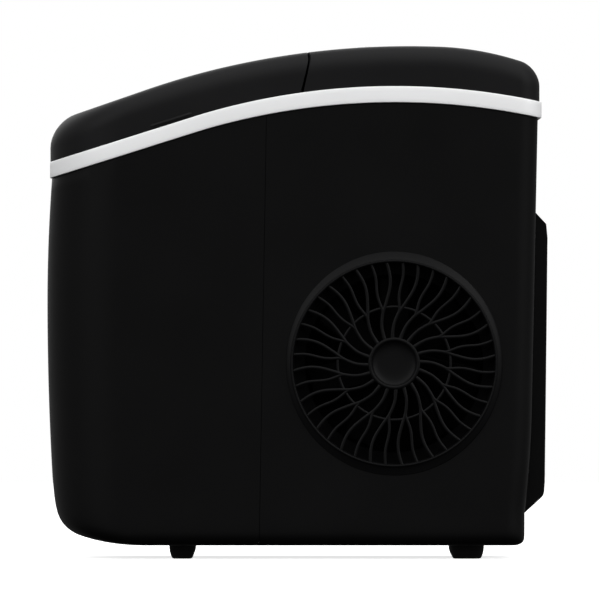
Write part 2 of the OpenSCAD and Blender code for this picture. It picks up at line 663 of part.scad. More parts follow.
cond_x0 = 70;
cond_x1 = 98;
module condenser() color([0.75, 0.77, 0.8]) {
  for (z = [70:7:217]) block([cond_x0, 15, z], [cond_x1, 127, z + 1]);
  for (x = [cond_x0, cond_x1 - 1.5], y = [14, 126.5]) block([x, y, 66], [x + 1.5, y + 1.5, 222]);
  for (y = [14, 126.5]) block([cond_x0, y, 66], [cond_x1, y + 1.5, 222]);
  for (x = [77, 91], y = [30:20:112]) translate([x, y, 62]) cylinder(h = 164, r = 3.6);
  along_y(84, 211, 120, 136, 3.6);
  along_y(84, 78, 120, 136, 3.6);
}

module fan_shroud() color([0.1, 0.1, 0.105]) {
  difference() {
    union() {
      block([107, 5, 66], [109, 137, 220]);
      along_x(fan_y, fan_z, 107, 137, duct_r + 2);
    }
    along_x(fan_y, fan_z, 100, 150, duct_r);
  }
  difference() {
    union() {
      along_x(fan_y, fan_z, 107, 110, 24);
      for (a = [45:90:315]) translate([107, fan_y, fan_z]) rotate([a, 0, 0]) translate([0, -4, 20]) cube([2.5, 8, duct_r - 19]);
    }
    along_x(fan_y, fan_z, 100, 120, 20.2);
  }
  for (y = [10, 132], z = [72, 214]) along_x(y, z, 98.5, 108, 4);
}

module fan_motor() color([0.3, 0.31, 0.33]) difference() {
  union() {
    along_x(fan_y, fan_z, 100, 115.5, 20);
    along_x(fan_y, fan_z, 115, 117, 7);
  }
  along_x(fan_y, fan_z, 106, 120, 2.55);
}

module fan_impeller() color([0.06, 0.06, 0.065]) {
  along_x(fan_y, fan_z, 107, 126, 2.5);
  along_x(fan_y, fan_z, 119, 133, 18);
  for (i = [0:blades - 1]) translate([126, fan_y, fan_z]) rotate([i * 360 / blades, 0, 0])
    translate([0, 0, 16]) rotate([0, 0, 35]) translate([-1, -12, 0]) cube([2, 24, blade_r - 16]);
}

module filter_drier() color([0.72, 0.45, 0.2]) translate([44, 142, 56]) rotate_extrude() polygon([
  [0, 0], [2.5, 0], [2.5, 6], [9, 12], [9, 62], [2.5, 70], [2.5, 76], [0, 76]]);

module discharge_pipe() color([0.72, 0.45, 0.2])
  swept([stub(20, 54.3), stub(20, 68), [20, 140, 150], [30, 146, 205], [60, 148, 212], [84, 146, 211], [84, 136.2, 211]], 3.2);
module liquid_pipe() color([0.72, 0.45, 0.2])
  swept([[84, 136.2, 78], [84, 148, 78], [70, 152, 60], [50, 150, 42], [44, 142, 44], [44, 142, 55.8]], 2.4);
module capillary_tube() color([0.72, 0.45, 0.2])
  swept([[44, 142, 132.2], [44, 142, 150], [40, 110, 180], [20, 60, 230], [-30, 26, 270], [-54, 20, 286], [-63, 18, 290]], 1.2);
module suction_pipe() color([0.72, 0.45, 0.2])
  swept([[70, 8.2, evap_pipe_z], [70, 22, evap_pipe_z], [50, 26, 240], [30, 30, 160], [18, 54, 120], stub(-30, 70), stub(-30, 54.3)], 3.6);

module hot_gas_valve() color([0.75, 0.6, 0.25]) {
  along_x(110, 240, 10, 40, 5);
  translate([25, 110, 238]) cylinder(h = 24, r = 8);
  block([14, 98, 256], [36, 122, 284]);
}
module hot_gas_pipe() color([0.72, 0.45, 0.2])
  swept([[9.4, 110, 240], [-10, 106, 240], [-30, 70, 262], [-66, 30, evap_pipe_z], [-70, 18, evap_pipe_z], [-70, 8.2, evap_pipe_z]], 2.4);

module water_pump() color([0.15, 0.15, 0.16]) {
  along_y(pump_x, 44, 16, 46, 17);
  block([pump_x - 17, 18, pan_z + pan_t], [pump_x + 17, 44, 30]);
  along_y(pump_x, pump_inlet_z, 10, 17, 5);
  translate([pump_x, 24, 58]) cylinder(h = 12, r = 4);
}
module pump_inlet_hose() color([0.8, 0.82, 0.8, 0.8])
  swept([[pump_x, -3.6, pump_inlet_z], [pump_x, 3, pump_inlet_z], [pump_x, 9.8, pump_inlet_z]], 4.5, 12);
module water_hose() color([0.8, 0.82, 0.8, 0.8])
  swept([[pump_x, 24, 70.2], [pump_x, 24, 110], [-110, 14, 180], [-100, 12, 270], [-87, 12, 300], [-87, -10, 300],
    [-87, -44, 303], [-87, -52, 296], [-87, -53, 274]], 3.6);

module control_box() color([0.12, 0.12, 0.125]) difference() {
  block([-136, 22, 212], [-102, 132, 306]);
  block([-134, 24, 214], [-101, 130, 304]);
}
module main_board() color([0.1, 0.35, 0.2]) {
  block([-130, 28, 218], [-128.4, 126, 300]);
  block([-128.5, 36, 226], [-112, 62, 252]);
  block([-128.5, 70, 226], [-118, 88, 240]);
  for (y = [76, 94, 110]) along_x(y, 276, -128.5, -112, 6);
}

module cord_gland() color([0.04, 0.04, 0.04]) difference() {
  union() {
    along_y(cable_gland[0], cable_gland[1], rear_y(60) - 12, rear_y(60) + 6, 8);
    along_y(cable_gland[0], cable_gland[1], rear_y(60) + 1.3, rear_y(60) + 3.3, 12);
  }
  along_y(cable_gland[0], cable_gland[1], 140, 200, 3.6);
}

front_shell();
rear_shell();
trim_band();
base_pan();
rear_top_cover();
lid_shell();
lid_window();
hinge_brackets();
hinge_pins();
fan_grille();
rear_vent_cover();
vent_screws();
housing_screws();
front_feet();
rear_feet();
foot_screws();
control_panel();
power_button();
size_button();
indicator_lenses();
panel_board();
inner_liner();
insulation();
ice_basket();
ice_rack();
water_tray();
tray_motor();
tray_bearing();
ice_pusher();
evaporator();
evaporator_bracket();
ice_sensors();
float_stem();
level_float();
drain_port();
drain_cap();
water_pump();
pump_inlet_hose();
water_hose();
bulkhead();
compressor();
compressor_mounts();
compressor_bolts();
terminal_cover();
condenser();
fan_shroud();
fan_motor();
fan_impeller();
filter_drier();
discharge_pipe();
suction_pipe();
liquid_pipe();
capillary_tube();
hot_gas_valve();
hot_gas_pipe();
control_box();
main_board();
cord_gland();
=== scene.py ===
"""Looks for the countertop ice maker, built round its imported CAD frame.

Lengths in this file are millimetres in the row frame (front -Y, grille +X, up +Z) until
put() turns them into metres.
"""

import math

import bmesh
import bpy
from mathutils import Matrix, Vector


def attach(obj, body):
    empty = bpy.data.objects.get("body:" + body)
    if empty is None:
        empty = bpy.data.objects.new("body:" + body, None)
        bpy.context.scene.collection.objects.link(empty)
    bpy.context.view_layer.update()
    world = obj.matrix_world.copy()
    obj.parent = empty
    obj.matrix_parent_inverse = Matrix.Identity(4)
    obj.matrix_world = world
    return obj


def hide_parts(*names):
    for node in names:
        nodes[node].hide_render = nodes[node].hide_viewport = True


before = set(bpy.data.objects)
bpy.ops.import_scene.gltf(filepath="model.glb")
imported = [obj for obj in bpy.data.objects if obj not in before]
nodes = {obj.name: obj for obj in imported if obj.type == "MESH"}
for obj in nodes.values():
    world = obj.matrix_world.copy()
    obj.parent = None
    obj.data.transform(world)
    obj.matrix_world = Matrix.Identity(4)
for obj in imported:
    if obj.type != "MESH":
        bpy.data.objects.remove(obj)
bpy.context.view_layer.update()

MM = 0.001

# ---------- driving dimensions, as in the CAD ----------
HALF_W = 143.2
CROWN_Z, CROWN_Y, CROWN_R = 375.0, 82.0, 600.0
BAND_CROWN_Z, BAND_CROWN_Y, BAND_R = 345.6, 72.0, 500.0
BAND_H = 11.8
WALL = 2.4
FRONT_CORNER_R = 55.0
REAR_CORNER_R = 14.0
LID_FRONT_Y = -181.3
COVER_REAR_Y = 177.3
HINGE_Y, HINGE_R = 4.8, 4.0
FAN_Y, FAN_Z = 71.0, 143.0
PANEL_Y = 52.0


def bow(y, zc, yc, r):
    return zc - r + math.sqrt(r * r - (y - yc) ** 2)


def top_z(y):
    """Crown of the lid and the rear cover."""
    if y < -115:
        return bow(-115, CROWN_Z, CROWN_Y, CROWN_R) + 0.34 * (y + 115)
    return bow(y, CROWN_Z, CROWN_Y, CROWN_R) - 5.3 * (max(0, y - 105) / 58) ** 2


def band_z(y):
    """Top edge of the trim band."""
    if y < -75:
        return bow(-75, BAND_CROWN_Z, BAND_CROWN_Y, BAND_R) + 0.31 * (y + 75)
    return bow(y, BAND_CROWN_Z, BAND_CROWN_Y, BAND_R)


def front_y(z):
    return -183.5 + (2.2e-4 if z < 189 else 4.2e-4) * (z - 189) ** 2


def rear_y(z):
    return 176.3 - 0.0205 * (333.8 - z) - 6.4e-4 * max(0, 110 - z) ** 2


def seam_y(z):
    return -27.8 + 0.017 * z


HINGE_Z = top_z(HINGE_Y) - HINGE_R


def warp(x, y, z):
    """The faint barrel of every outer panel: sides and front bow outward by about two mm."""
    side = 1 - 0.0062 * ((y - 20) / 160) ** 2 - 0.0035 * ((z - 190) / 190) ** 2
    front = min(1, max(0, (-y - 60) / 120))
    return x * side, y + 2.2 * (x / HALF_W) ** 2 * front, z


# ---------- mesh helpers ----------
def put(name, verts, faces, bend=False):
    """A mesh object from millimetre points, with its normals facing out."""
    if bend:
        verts = [warp(*v) for v in verts]
    mesh = bpy.data.meshes.new(name)
    mesh.from_pydata([(x * MM, y * MM, z * MM) for x, y, z in verts], [], faces)
    bm = bmesh.new()
    bm.from_mesh(mesh)
    bmesh.ops.remove_doubles(bm, verts=bm.verts, dist=1e-7)
    bmesh.ops.recalc_face_normals(bm, faces=bm.faces)
    bm.to_mesh(mesh)
    bm.free()
    obj = bpy.data.objects.new(name, mesh)
    bpy.context.scene.collection.objects.link(obj)
    return obj


def grid_faces(rows, cols, wrap=False):
    """Quads between consecutive rows of cols points each."""
    last = cols if wrap else cols - 1
    return [
        (r * cols + c, r * cols + (c + 1) % cols, (r + 1) * cols + (c + 1) % cols, (r + 1) * cols + c)
        for r in range(rows - 1)
        for c in range(last)
    ]


def tube_faces(rows, cols):
    """A closed section of cols points carried through the rows, with both ends capped."""
    size = rows * cols
    return grid_faces(rows, cols, wrap=True) + [tuple(range(cols)), tuple(range(size - cols, size))]


def ring_faces(rows, cols, wrap=True):
    """Quads between rows of cols points each, where the last row meets the first."""
    faces = []
    for r in range(rows):
        here, after = r * cols, (r + 1) % rows * cols
        for c in range(cols if wrap else cols - 1):
            d = (c + 1) % cols
            faces.append((here + c, here + d, after + d, after + c))
    return faces


# faces of a box whose corners run x slowest and z fastest
BOX_FACES = [(0, 1, 3, 2), (4, 6, 7, 5), (0, 4, 5, 1), (2, 3, 7, 6), (0, 2, 6, 4), (1, 5, 7, 3)]


def lerp(a, b, t):
    return a + (b - a) * t


def spread(a, b, n):
    return [lerp(a, b, i / n) for i in range(n + 1)]


def smooth_path(points, steps):
    """Catmull-Rom through the points, any number of coordinates each."""
    out = []
    for i in range(len(points) - 1):
        p0, p1, p2, p3 = (points[min(max(i + k, 0), len(points) - 1)] for k in (-1, 0, 1, 2))
        for s in range(steps):
            t = s / steps
            out.append(tuple(
                0.5 * (2 * b + (c - a) * t + (2 * a - 5 * b + 4 * c - d) * t * t
                       + (3 * b - a - 3 * c + d) * t**3)
                for a, b, c, d in zip(p0, p1, p2, p3)))
    return out + [tuple(points[-1])]


def apply_modifiers(obj):
    depsgraph = bpy.context.evaluated_depsgraph_get()
    mesh = bpy.data.meshes.new_from_object(obj.evaluated_get(depsgraph))
    old = obj.data
    obj.modifiers.clear()
    obj.data = mesh
    mesh.name = obj.name
    bpy.data.meshes.remove(old)


def solidify(obj, thickness=WALL):
    mod = obj.modifiers.new("wall", "SOLIDIFY")
    mod.thickness = thickness * MM
    mod.offset = -1
    mod.use_even_offset = True
    apply_modifiers(obj)


def cut(obj, *cutters):
    for cutter in cutters:
        mod = obj.modifiers.new("cut", "BOOLEAN")
        mod.operation = "DIFFERENCE"
        mod.solver = "EXACT"
        mod.object = cutter
        apply_modifiers(obj)
        mesh = cutter.data
        bpy.data.objects.remove(cutter)
        bpy.data.meshes.remove(mesh)


def bevel(obj, width, segments=2, angle=35):
    mod = obj.modifiers.new("edges", "BEVEL")
    mod.width = width * MM
    mod.segments = segments
    mod.limit_method = "ANGLE"
    mod.angle_limit = math.radians(angle)
    mod.use_clamp_overlap = True


def soft_shade(obj, angle=32):
    mesh = obj.data
    mesh.polygons.foreach_set("use_smooth", [True] * len(mesh.polygons))
    bm = bmesh.new()
    bm.from_mesh(mesh)
    limit = math.radians(angle)
    for edge in bm.edges:
        edge.smooth = len(edge.link_faces) == 2 and edge.calc_face_angle(0) < limit
    bm.to_mesh(mesh)
    bm.free()


def dress(obj, body, material, replaces=()):
    """Material, slot, body and the CAD nodes that this piece stands for."""
    obj.data.materials.clear()
    obj.data.materials.append(material)
    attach(obj, body)
    if replaces:
        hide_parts(*replaces)
    return obj


# ---------- plan outlines ----------
def half_front(yf, y_end, hw, rf, n=(22, 16, 8)):
    """Half a plan outline: side from y_end forward, front corner, front to the middle.
    Each point is (x, y, front weight)."""
    side, arc, front = n
    pts = [(hw, y, 0.0) for y in spread(y_end, yf + rf, side)[:-1]]
    for i in range(arc + 1):
        a = math.radians(90 * i / arc)
        pts.append((hw - rf + rf * math.cos(a), yf + rf - rf * math.sin(a), math.sin(a) ** 2))
    pts += [(x, yf, 1.0) for x in spread(hw - rf, 0, front)[1:]]
    return pts


def mirrored(half):
    """The other half, without repeating the middle point."""
    return half + [(-p[0],) + tuple(p[1:]) for p in reversed(half[:-1])]


def rounded_rect(a, b, r, n=6):
    pts = []
    for cx, cy, a0 in ((a - r, b - r, 0), (r - a, b - r, 90), (r - a, r - b, 180), (a - r, r - b, 270)):
        for i in range(n + 1):
            t = math.radians(a0 + 90 * i / n)
            pts.append((cx + r * math.cos(t), cy + r * math.sin(t)))
    return pts


def prism(name, outline, z0, z1):
    """Closed upright prism, used as a cutter."""
    verts = [(x, y, z) for z in (z0, z1) for x, y in outline]
    return put(name, verts, tube_faces(2, len(outline)))


def through_cutter(outline, y0, y1):
    """Closed prism along Y from an outline of (x, z) points."""
    verts = [(x, y, z) for y in (y0, y1) for x, z in outline]
    return put("cutter", verts, tube_faces(2, len(outline)))


def rod_cutter(axis, a, b, lo, hi, r, n=96):
    """Closed cylinder along X or Y through (a, b) in the other two coordinates."""
    verts = []
    for s in (lo, hi):
        for i in range(n):
            t = math.tau * i / n
            u, v = a + r * math.cos(t), b + r * math.sin(t)
            verts.append((s, u, v) if axis == "x" else (u, s, v))
    return put("cutter", verts, tube_faces(2, n))


def block_cutter(x, y, z):
    return put("cutter", [(i, j, k) for i in x for j in y for k in z], BOX_FACES)


def lathe(name, profile, centre, n=128, axis="x", stretch=None, wrap=True):
    """Turns (radius, height) points about an axis; the profile is a closed loop if wrap is true."""
    verts = []
    for i in range(n):
        a = math.tau * i / n
        c, s = math.cos(a), math.sin(a)
        for k, (r, h) in enumerate(profile):
            rr = r if stretch is None else stretch(k, r, a)
            if axis == "x":
                verts.append((centre[0] + h, centre[1] + rr * s, centre[2] + rr * c))
            else:
                verts.append((centre[0] + rr * c, centre[1] + rr * s, centre[2] + h))
    m = len(profile)
    faces = ring_faces(n, m, wrap)
    if not wrap:
        faces += [tuple(i * m for i in range(n)), tuple(i * m + m - 1 for i in range(n))]
    return put(name, verts, faces)


def pad(name, outline_at, surface, thick, fillet, inner=5, centre=(0, 0)):
    """A closed plate whose top follows surface(x, y), with a rounded top edge.
    outline_at(d) is its outline moved in by d."""
    cx, cy = centre

    def lifted(x, y, dz=0.0):
        return x + cx, y + cy, surface(x + cx, y + cy) + dz

    rings = [(fillet * 0.5, -thick), (0, -thick + fillet * 0.5)]
    for a in (0, 30, 60, 90):
        turn = math.radians(a)
        rings.append((fillet * (1 - math.cos(turn)), -fillet * (1 - math.sin(turn))))
    verts = [lifted(x, y, dz) for inset, dz in rings for x, y in outline_at(inset)]
    edge = outline_at(fillet)
    for k in range(1, inner):
        s = 1 - k / inner
        verts += [lifted(x * s, y * s) for x, y in edge]
    n = len(edge)
    rows = len(rings) + inner - 1
    faces = grid_faces(rows, n, wrap=True)
    top, bottom = len(verts), len(verts) + 1
    verts += [lifted(0, 0), lifted(0, 0, -thick)]
    last = (rows - 1) * n
    faces += [(last + i, last + (i + 1) % n, top) for i in range(n)]
    faces += [((i + 1) % n, i, bottom) for i in range(n)]
    return put(name, verts, faces)


def sweep(path, section, across):
    """Verts and faces of a closed section swept along a path in the plane x = const.
    path holds (y, z); section holds (sideways, x); across scales the width at each point."""
    verts = []
    for i, (y, z) in enumerate(path):
        y0, z0 = path[max(i - 1, 0)]
        y1, z1 = path[min(i + 1, len(path) - 1)]
        ty, tz = y1 - y0, z1 - z0
        length = math.hypot(ty, tz)
        ny, nz = -tz / length, ty / length
        for side, x in section:
            verts.append((x, y + ny * side * across[i], z + nz * side * across[i]))
    return verts, tube_faces(len(path), len(section))


def joined(name, parts):
    verts, faces = [], []
    for v, f in parts:
        base = len(verts)
        verts += v
        faces += [tuple(i + base for i in face) for face in f]
    return put(name, verts, faces)


# ---------- materials ----------
def link(tree, a, b):
    tree.links.new(a, b)


def material(
    name,
    color,
    rough=0.4,
    rough_swing=0.06,
    color_swing=0.12,
    patch=45,
    grain=0.35,
    grain_height=0.012,
    metallic=0.0,
    coat=0.0,
    transmission=0.0,
    brushed=None,
    wave=None,
    specular=0.5,
):
    """Procedural finish. patch and grain are feature sizes in mm, grain_height a height in mm.
    brushed stretches the grain along one axis; wave adds a coarser relief of (size, height)."""
    mat = bpy.data.materials.new(name)
    mat.use_nodes = True
    tree = mat.node_tree
    bsdf = tree.nodes["Principled BSDF"]
    bsdf.inputs["Metallic"].default_value = metallic
    bsdf.inputs["Coat Weight"].default_value = coat
    bsdf.inputs["Coat Roughness"].default_value = 0.12
    bsdf.inputs["Transmission Weight"].default_value = transmission
    bsdf.inputs["Specular IOR Level"].default_value = specular

    place = tree.nodes.new("ShaderNodeTexCoord")
    broad = tree.nodes.new("ShaderNodeTexNoise")
    broad.inputs["Scale"].default_value = 1000 / patch
    broad.inputs["Detail"].default_value = 4
    link(tree, place.outputs["Object"], broad.inputs["Vector"])

    tint = tree.nodes.new("ShaderNodeValToRGB")
    low, high = (tuple(c * (1 + s * color_swing) for c in color) + (1,) for s in (-1, 1))
    tint.color_ramp.elements[0].position, tint.color_ramp.elements[1].position = 0.3, 0.7
    tint.color_ramp.elements[0].color, tint.color_ramp.elements[1].color = low, high
    link(tree, broad.outputs["Fac"], tint.inputs["Fac"])
    link(tree, tint.outputs["Color"], bsdf.inputs["Base Color"])

    fine = tree.nodes.new("ShaderNodeTexNoise")
    fine.inputs["Scale"].default_value = 1000 / grain
    fine.inputs["Detail"].default_value = 2
    if brushed:
        stretch = tree.nodes.new("ShaderNodeMapping")
        stretch.inputs["Scale"].default_value = brushed
        link(tree, place.outputs["Object"], stretch.inputs["Vector"])
        link(tree, stretch.outputs["Vector"], fine.inputs["Vector"])
    else:
        link(tree, place.outputs["Object"], fine.inputs["Vector"])

    both = tree.nodes.new("ShaderNodeMath")
    both.operation = "ADD"
    link(tree, broad.outputs["Fac"], both.inputs[0])
    link(tree, fine.outputs["Fac"], both.inputs[1])
    gloss = tree.nodes.new("ShaderNodeMapRange")
    gloss.inputs["From Min"].default_value = 0.6
    gloss.inputs["From Max"].default_value = 1.4
    gloss.inputs["To Min"].default_value = max(0.02, rough - rough_swing)
    gloss.inputs["To Max"].default_value = rough + rough_swing
    link(tree, both.outputs[0], gloss.inputs["Value"])
    link(tree, gloss.outputs["Result"], bsdf.inputs["Roughness"])

    bump = tree.nodes.new("ShaderNodeBump")
    bump.inputs["Strength"].default_value = 1.0
    bump.inputs["Distance"].default_value = grain_height * MM
    link(tree, fine.outputs["Fac"], bump.inputs["Height"])
    if wave:
        swell = tree.nodes.new("ShaderNodeTexNoise")
        swell.inputs["Scale"].default_value = 1000 / wave[0]
        swell.inputs["Detail"].default_value = 1
        link(tree, place.outputs["Object"], swell.inputs["Vector"])
        under = tree.nodes.new("ShaderNodeBump")
        under.inputs["Strength"].default_value = 1.0
        under.inputs["Distance"].default_value = wave[1] * MM
        link(tree, swell.outputs["Fac"], under.inputs["Height"])
        link(tree, under.outputs["Normal"], bump.inputs["Normal"])
    link(tree, bump.outputs["Normal"], bsdf.inputs["Normal"])
    return mat


M = {}


def finish(name, *values, **options):
    M[name] = material(name, *values, **options)


finish("housing_black", (0.0024, 0.0024, 0.0025), 0.5, grain=0.5, grain_height=0.006, patch=70,
       specular=0.075)
finish("lid_black", (0.0072, 0.0072, 0.0076), 0.5, grain=0.45, grain_height=0.004, patch=80, specular=0.09)
finish("trim_silver", (0.87, 0.875, 0.88), 0.36, 0.05, 0.015, patch=60, grain=0.25, grain_height=0.002,
       coat=0.2)
finish("grille_black", (0.0027, 0.0027, 0.0029), 0.45, grain=0.4, grain_height=0.004, specular=0.09)
finish("smoke_window", (0.05, 0.05, 0.055), 0.22, 0.03, 0.05, grain_height=0.001, transmission=0.75,
       specular=0.25)
finish("foot_rubber", (0.005, 0.005, 0.005), 0.75, 0.08, 0.2, grain=0.6, grain_height=0.02, specular=0.2)
finish("pan_steel", (0.34, 0.35, 0.36), 0.42, 0.1, 0.25, patch=9, grain=0.8, grain_height=0.006, metallic=0.9)
finish("screw_steel", (0.5, 0.5, 0.51), 0.3, 0.08, 0.1, patch=4, grain_height=0.004, metallic=1.0)
finish("hinge_plastic", (0.04, 0.04, 0.042), 0.5, grain=0.5, grain_height=0.01)
finish("panel_gloss", (0.004, 0.004, 0.0046), 0.3, 0.03, 0.1, grain_height=0.0005, coat=0.1, specular=0.2)
finish("button_silver", (0.62, 0.63, 0.64), 0.28, 0.05, 0.03, patch=5, grain=0.3, grain_height=0.003,
       metallic=1.0, brushed=(1, 12, 1))
finish("lens_clear", (0.5, 0.68, 0.78), 0.08, 0.03, 0.05, grain_height=0.0005, transmission=0.6)
finish("board_green", (0.03, 0.14, 0.06), 0.35, 0.08, 0.25, patch=3, grain=0.9, grain_height=0.02)
finish("liner_grey", (0.55, 0.58, 0.6), 0.3, 0.06, 0.03, patch=50, grain=0.4, grain_height=0.005)
finish("foam", (0.75, 0.66, 0.42), 0.85, 0.08, 0.12, patch=6, grain=1.2, grain_height=0.25)
finish("basket_clear", (0.78, 0.83, 0.87), 0.22, 0.05, 0.03, grain=0.5, grain_height=0.004, transmission=0.35)
finish("tray_white", (0.72, 0.75, 0.77), 0.32, 0.06, 0.03, grain=0.5, grain_height=0.005)
finish("part_dark", (0.004, 0.004, 0.0045), 0.7, 0.08, 0.15, grain=0.5, grain_height=0.012, specular=0.08)
finish("evaporator_nickel", (0.72, 0.72, 0.71), 0.2, 0.06, 0.05, patch=8, grain_height=0.002, metallic=1.0,
       wave=(9, 0.02))
finish("sensor_dark", (0.012, 0.012, 0.015), 0.12, 0.03, 0.1, grain_height=0.001, coat=0.5)
finish("float_white", (0.82, 0.83, 0.83), 0.4, 0.06, 0.03, grain=0.5, grain_height=0.008)
finish("hose_silicone", (0.68, 0.7, 0.68), 0.4, 0.06, 0.05, grain=0.6, grain_height=0.006, transmission=0.25)
finish("compressor_black", (0.012, 0.012, 0.014), 0.35, 0.08, 0.2, patch=20, grain=0.9, grain_height=0.02,
       coat=0.3, wave=(6, 0.03))
finish("mount_rubber", (0.013, 0.013, 0.013), 0.8, 0.06, 0.2, grain=0.6, grain_height=0.02)
finish("fin_aluminium", (0.012, 0.012, 0.013), 0.6, 0.08, 0.2, patch=6, grain_height=0.004, specular=0.15)
finish("copper", (0.72, 0.38, 0.22), 0.28, 0.1, 0.22, patch=7, grain_height=0.004, metallic=1.0)
finish("valve_brass", (0.66, 0.5, 0.22), 0.3, 0.08, 0.15, patch=6, grain_height=0.004, metallic=1.0)
ICON = material("icon_print", (0.62, 0.64, 0.66), 0.5, 0.05, 0.04, grain_height=0.001)
# painted shade: a near-black, nearly unlit finish for the parts and strips that stand for the shade inside
# the machine and in its joints
PAINTED_SHADE_BLACK = material("painted_shade_black", (0.0012, 0.0012, 0.0013), 0.85, 0.05, 0.2, grain=0.6, grain_height=0.01,
                specular=0.03)
DARK_MARK = material("key_mark", (0.05, 0.05, 0.055), 0.5, 0.05, 0.1, grain_height=0.001)

# CAD nodes that keep their own mesh: finish and edge bevel (mm) for each
KEPT = {
    "base_pan": ("pan_steel", 0.3),
    "hinge_brackets": ("hinge_plastic", 0.4),
    "hinge_pins": ("screw_steel", 0.25),
    "vent_screws": ("screw_steel", 0.3),
    "housing_screws": ("screw_steel", 0.4),
    "foot_screws": ("screw_steel", 0.3),
    "panel_board": ("board_green", 0),
    "inner_liner": ("liner_grey", 0.8),
    "insulation": ("foam", 0),
    "ice_basket": ("basket_clear", 0.5),
    "ice_rack": ("tray_white", 0.4),
    "water_tray": ("tray_white", 0.4),
    "tray_motor": ("part_dark", 1.0),
    "tray_bearing": ("tray_white", 1.0),
    "ice_pusher": ("tray_white", 0.4),
    "evaporator": ("evaporator_nickel", 0.4),
    "evaporator_bracket": ("screw_steel", 0.3),
    "ice_sensors": ("sensor_dark", 0.5),
    "float_stem": ("tray_white", 0.3),
    "level_float": ("float_white", 0.8),
    "drain_port": ("part_dark", 0.4),
    "drain_cap": ("housing_black", 0.6),
    "water_pump": ("part_dark", 0.6),
    "pump_inlet_hose": ("hose_silicone", 0),
    "water_hose": ("hose_silicone", 0),
    "bulkhead": ("pan_steel", 0.3),
    "compressor": ("compressor_black", 0.8),
    "compressor_mounts": ("mount_rubber", 0.4),
    "compressor_bolts": ("screw_steel", 0.4),
    "terminal_cover": ("part_dark", 0.8),
    "condenser": ("fin_aluminium", 0),
    "fan_shroud": ("part_dark", 0.4),
    "fan_motor": ("part_dark", 0.8),
    "fan_impeller": ("part_dark", 0.5),
    "filter_drier": ("copper", 0.4),
    "discharge_pipe": ("copper", 0),
    "suction_pipe": ("copper", 0),
    "liquid_pipe": ("copper", 0),
    "capillary_tube": ("copper", 0),
    "hot_gas_valve": ("valve_brass", 0.5),
    "hot_gas_pipe": ("copper", 0),
    "control_box": ("part_dark", 0.8),
    "main_board": ("board_green", 0),
    "cord_gland": ("foot_rubber", 0.4),
}
# parts seen only through the grille take the painted shade black instead of their own finish: painted shade
# for the dark inside the machine
PAINTED_SHADE_PARTS = ("fan_shroud", "fan_motor", "fan_impeller", "terminal_cover")
for node, (slot, width) in KEPT.items():
    obj = nodes[node]
    obj.data.materials.clear()
    obj.data.materials.append(PAINTED_SHADE_BLACK if node in PAINTED_SHADE_PARTS else M[slot])
    if width:
        bevel(obj, width, 2, 40)

# ---------- lower housing ----------
# Each ring of the lower shells: (outline end at the bottom of the front or rear, its height,
# half width of the side, its height). The first rings are the flange under the floor edge.
FRONT_FOOT = smooth_path(
    [(-110, 9.8), (-126.3, 10.3), (-143.8, 12.7), (-157, 16.0), (-165.5, 19.6), (-172.2, 25.6),
     (-176.2, 33.5), (-178.4, 45), (-179.8, 60)], 2)
SIDE_FOOT = smooth_path(
    [(119.5, 9.8), (127, 9.8), (134, 9.9), (137.6, 10.9), (140.4, 12.7), (142.2, 15.4), (143.0, 18.6),
     (143.2, 24), (143.2, 34)], 2)
REAR_FOOT = smooth_path(
    [(146, 9.8), (152, 9.8), (157.6, 9.8), (161.3, 10.2), (164.2, 11.5), (165.8, 13.4), (166.35, 16.2),
     (166.45, 21), (166.4, 33)], 2)
WALL_ROWS = 26
SEAM_HALF_GAP = 0.16


def shell_rows(front):
    """Rows of points from the floor flange up to the band, going round half of the housing."""
    rows = []
    foot = FRONT_FOOT if front else REAR_FOOT
    for k in range(len(foot) + WALL_ROWS + 2):
        low = k < len(foot)
        if low:
            (ye, ze), (hw, zs) = foot[k], SIDE_FOOT[k]
            rise = 0
        else:
            ye, ze, hw, zs = *foot[-1], HALF_W, SIDE_FOOT[-1][1]
            rise = min(1, (k - len(foot) + 1) / WALL_ROWS)
        # past the top of the wall the panel turns in under the band
        tuck = {0: 0, 1: 0.5, 2: 2.6}[max(0, k - len(foot) - WALL_ROWS + 1)] if not low else 0
        hw -= tuck

        def height(y, weight):
            z0 = lerp(zs, ze, weight)
            top = band_z(y) - BAND_H - (0.9 if tuck == 0 else 0.2)
            return z0 + (top - z0) * rise

        seam = seam_y(height(-28, 0))
        if front:
            yf = (ye if low else front_y(height(-180, 1))) + tuck
            corner = max(9, FRONT_CORNER_R - 0.5 * (HALF_W - hw) - 0.5 * (yf + 183.5))
            half = half_front(yf, seam - SEAM_HALF_GAP, hw, corner, (24, 16, 8))
        else:
            yr = (ye if low else rear_y(height(176, 1))) - tuck
            corner = max(4, REAR_CORNER_R - 0.5 * (HALF_W - hw) - (0.5 * (foot[-1][0] - ye) if low else 0))
            outline = half_front(-yr, -(seam + SEAM_HALF_GAP), hw, corner, (40, 8, 10))
            half = [(x, -y, w) for x, y, w in outline]
        rows.append([(x, y, height(y, w)) for x, y, w in mirrored(half)])
    return rows


def skin(name, rows, wrap=False):
    verts = [p for row in rows for p in row]
    return put(name, verts, grid_faces(len(rows), len(rows[0]), wrap=wrap), bend=True)


# openings of the shells: drain cap, cord gland, fan, rear vent and the screws from behind
REAR_WALL = (150, 190)
VENT_OPENING_X, VENT_OPENING_Z = (-86, 86), (66, 236)
HOUSING_SCREWS = [(x, z) for x in (-124, 124) for z in (120, 290)]
SCREW_SINK = 2.1
DRAIN_Y, DRAIN_Z, DRAIN_R = -120, 34, 15.5
GLAND_X, GLAND_Z, GLAND_R = -118, 60, 8.2
FAN_OPENING_R = 74.6
front = skin("front_housing", shell_rows(True))
solidify(front)
cut(front, rod_cutter("x", DRAIN_Y, DRAIN_Z, -150, -130, DRAIN_R, 64))
bevel(front, 0.35)
soft_shade(front)
dress(front, "machine", M["housing_black"], ["front_shell"])

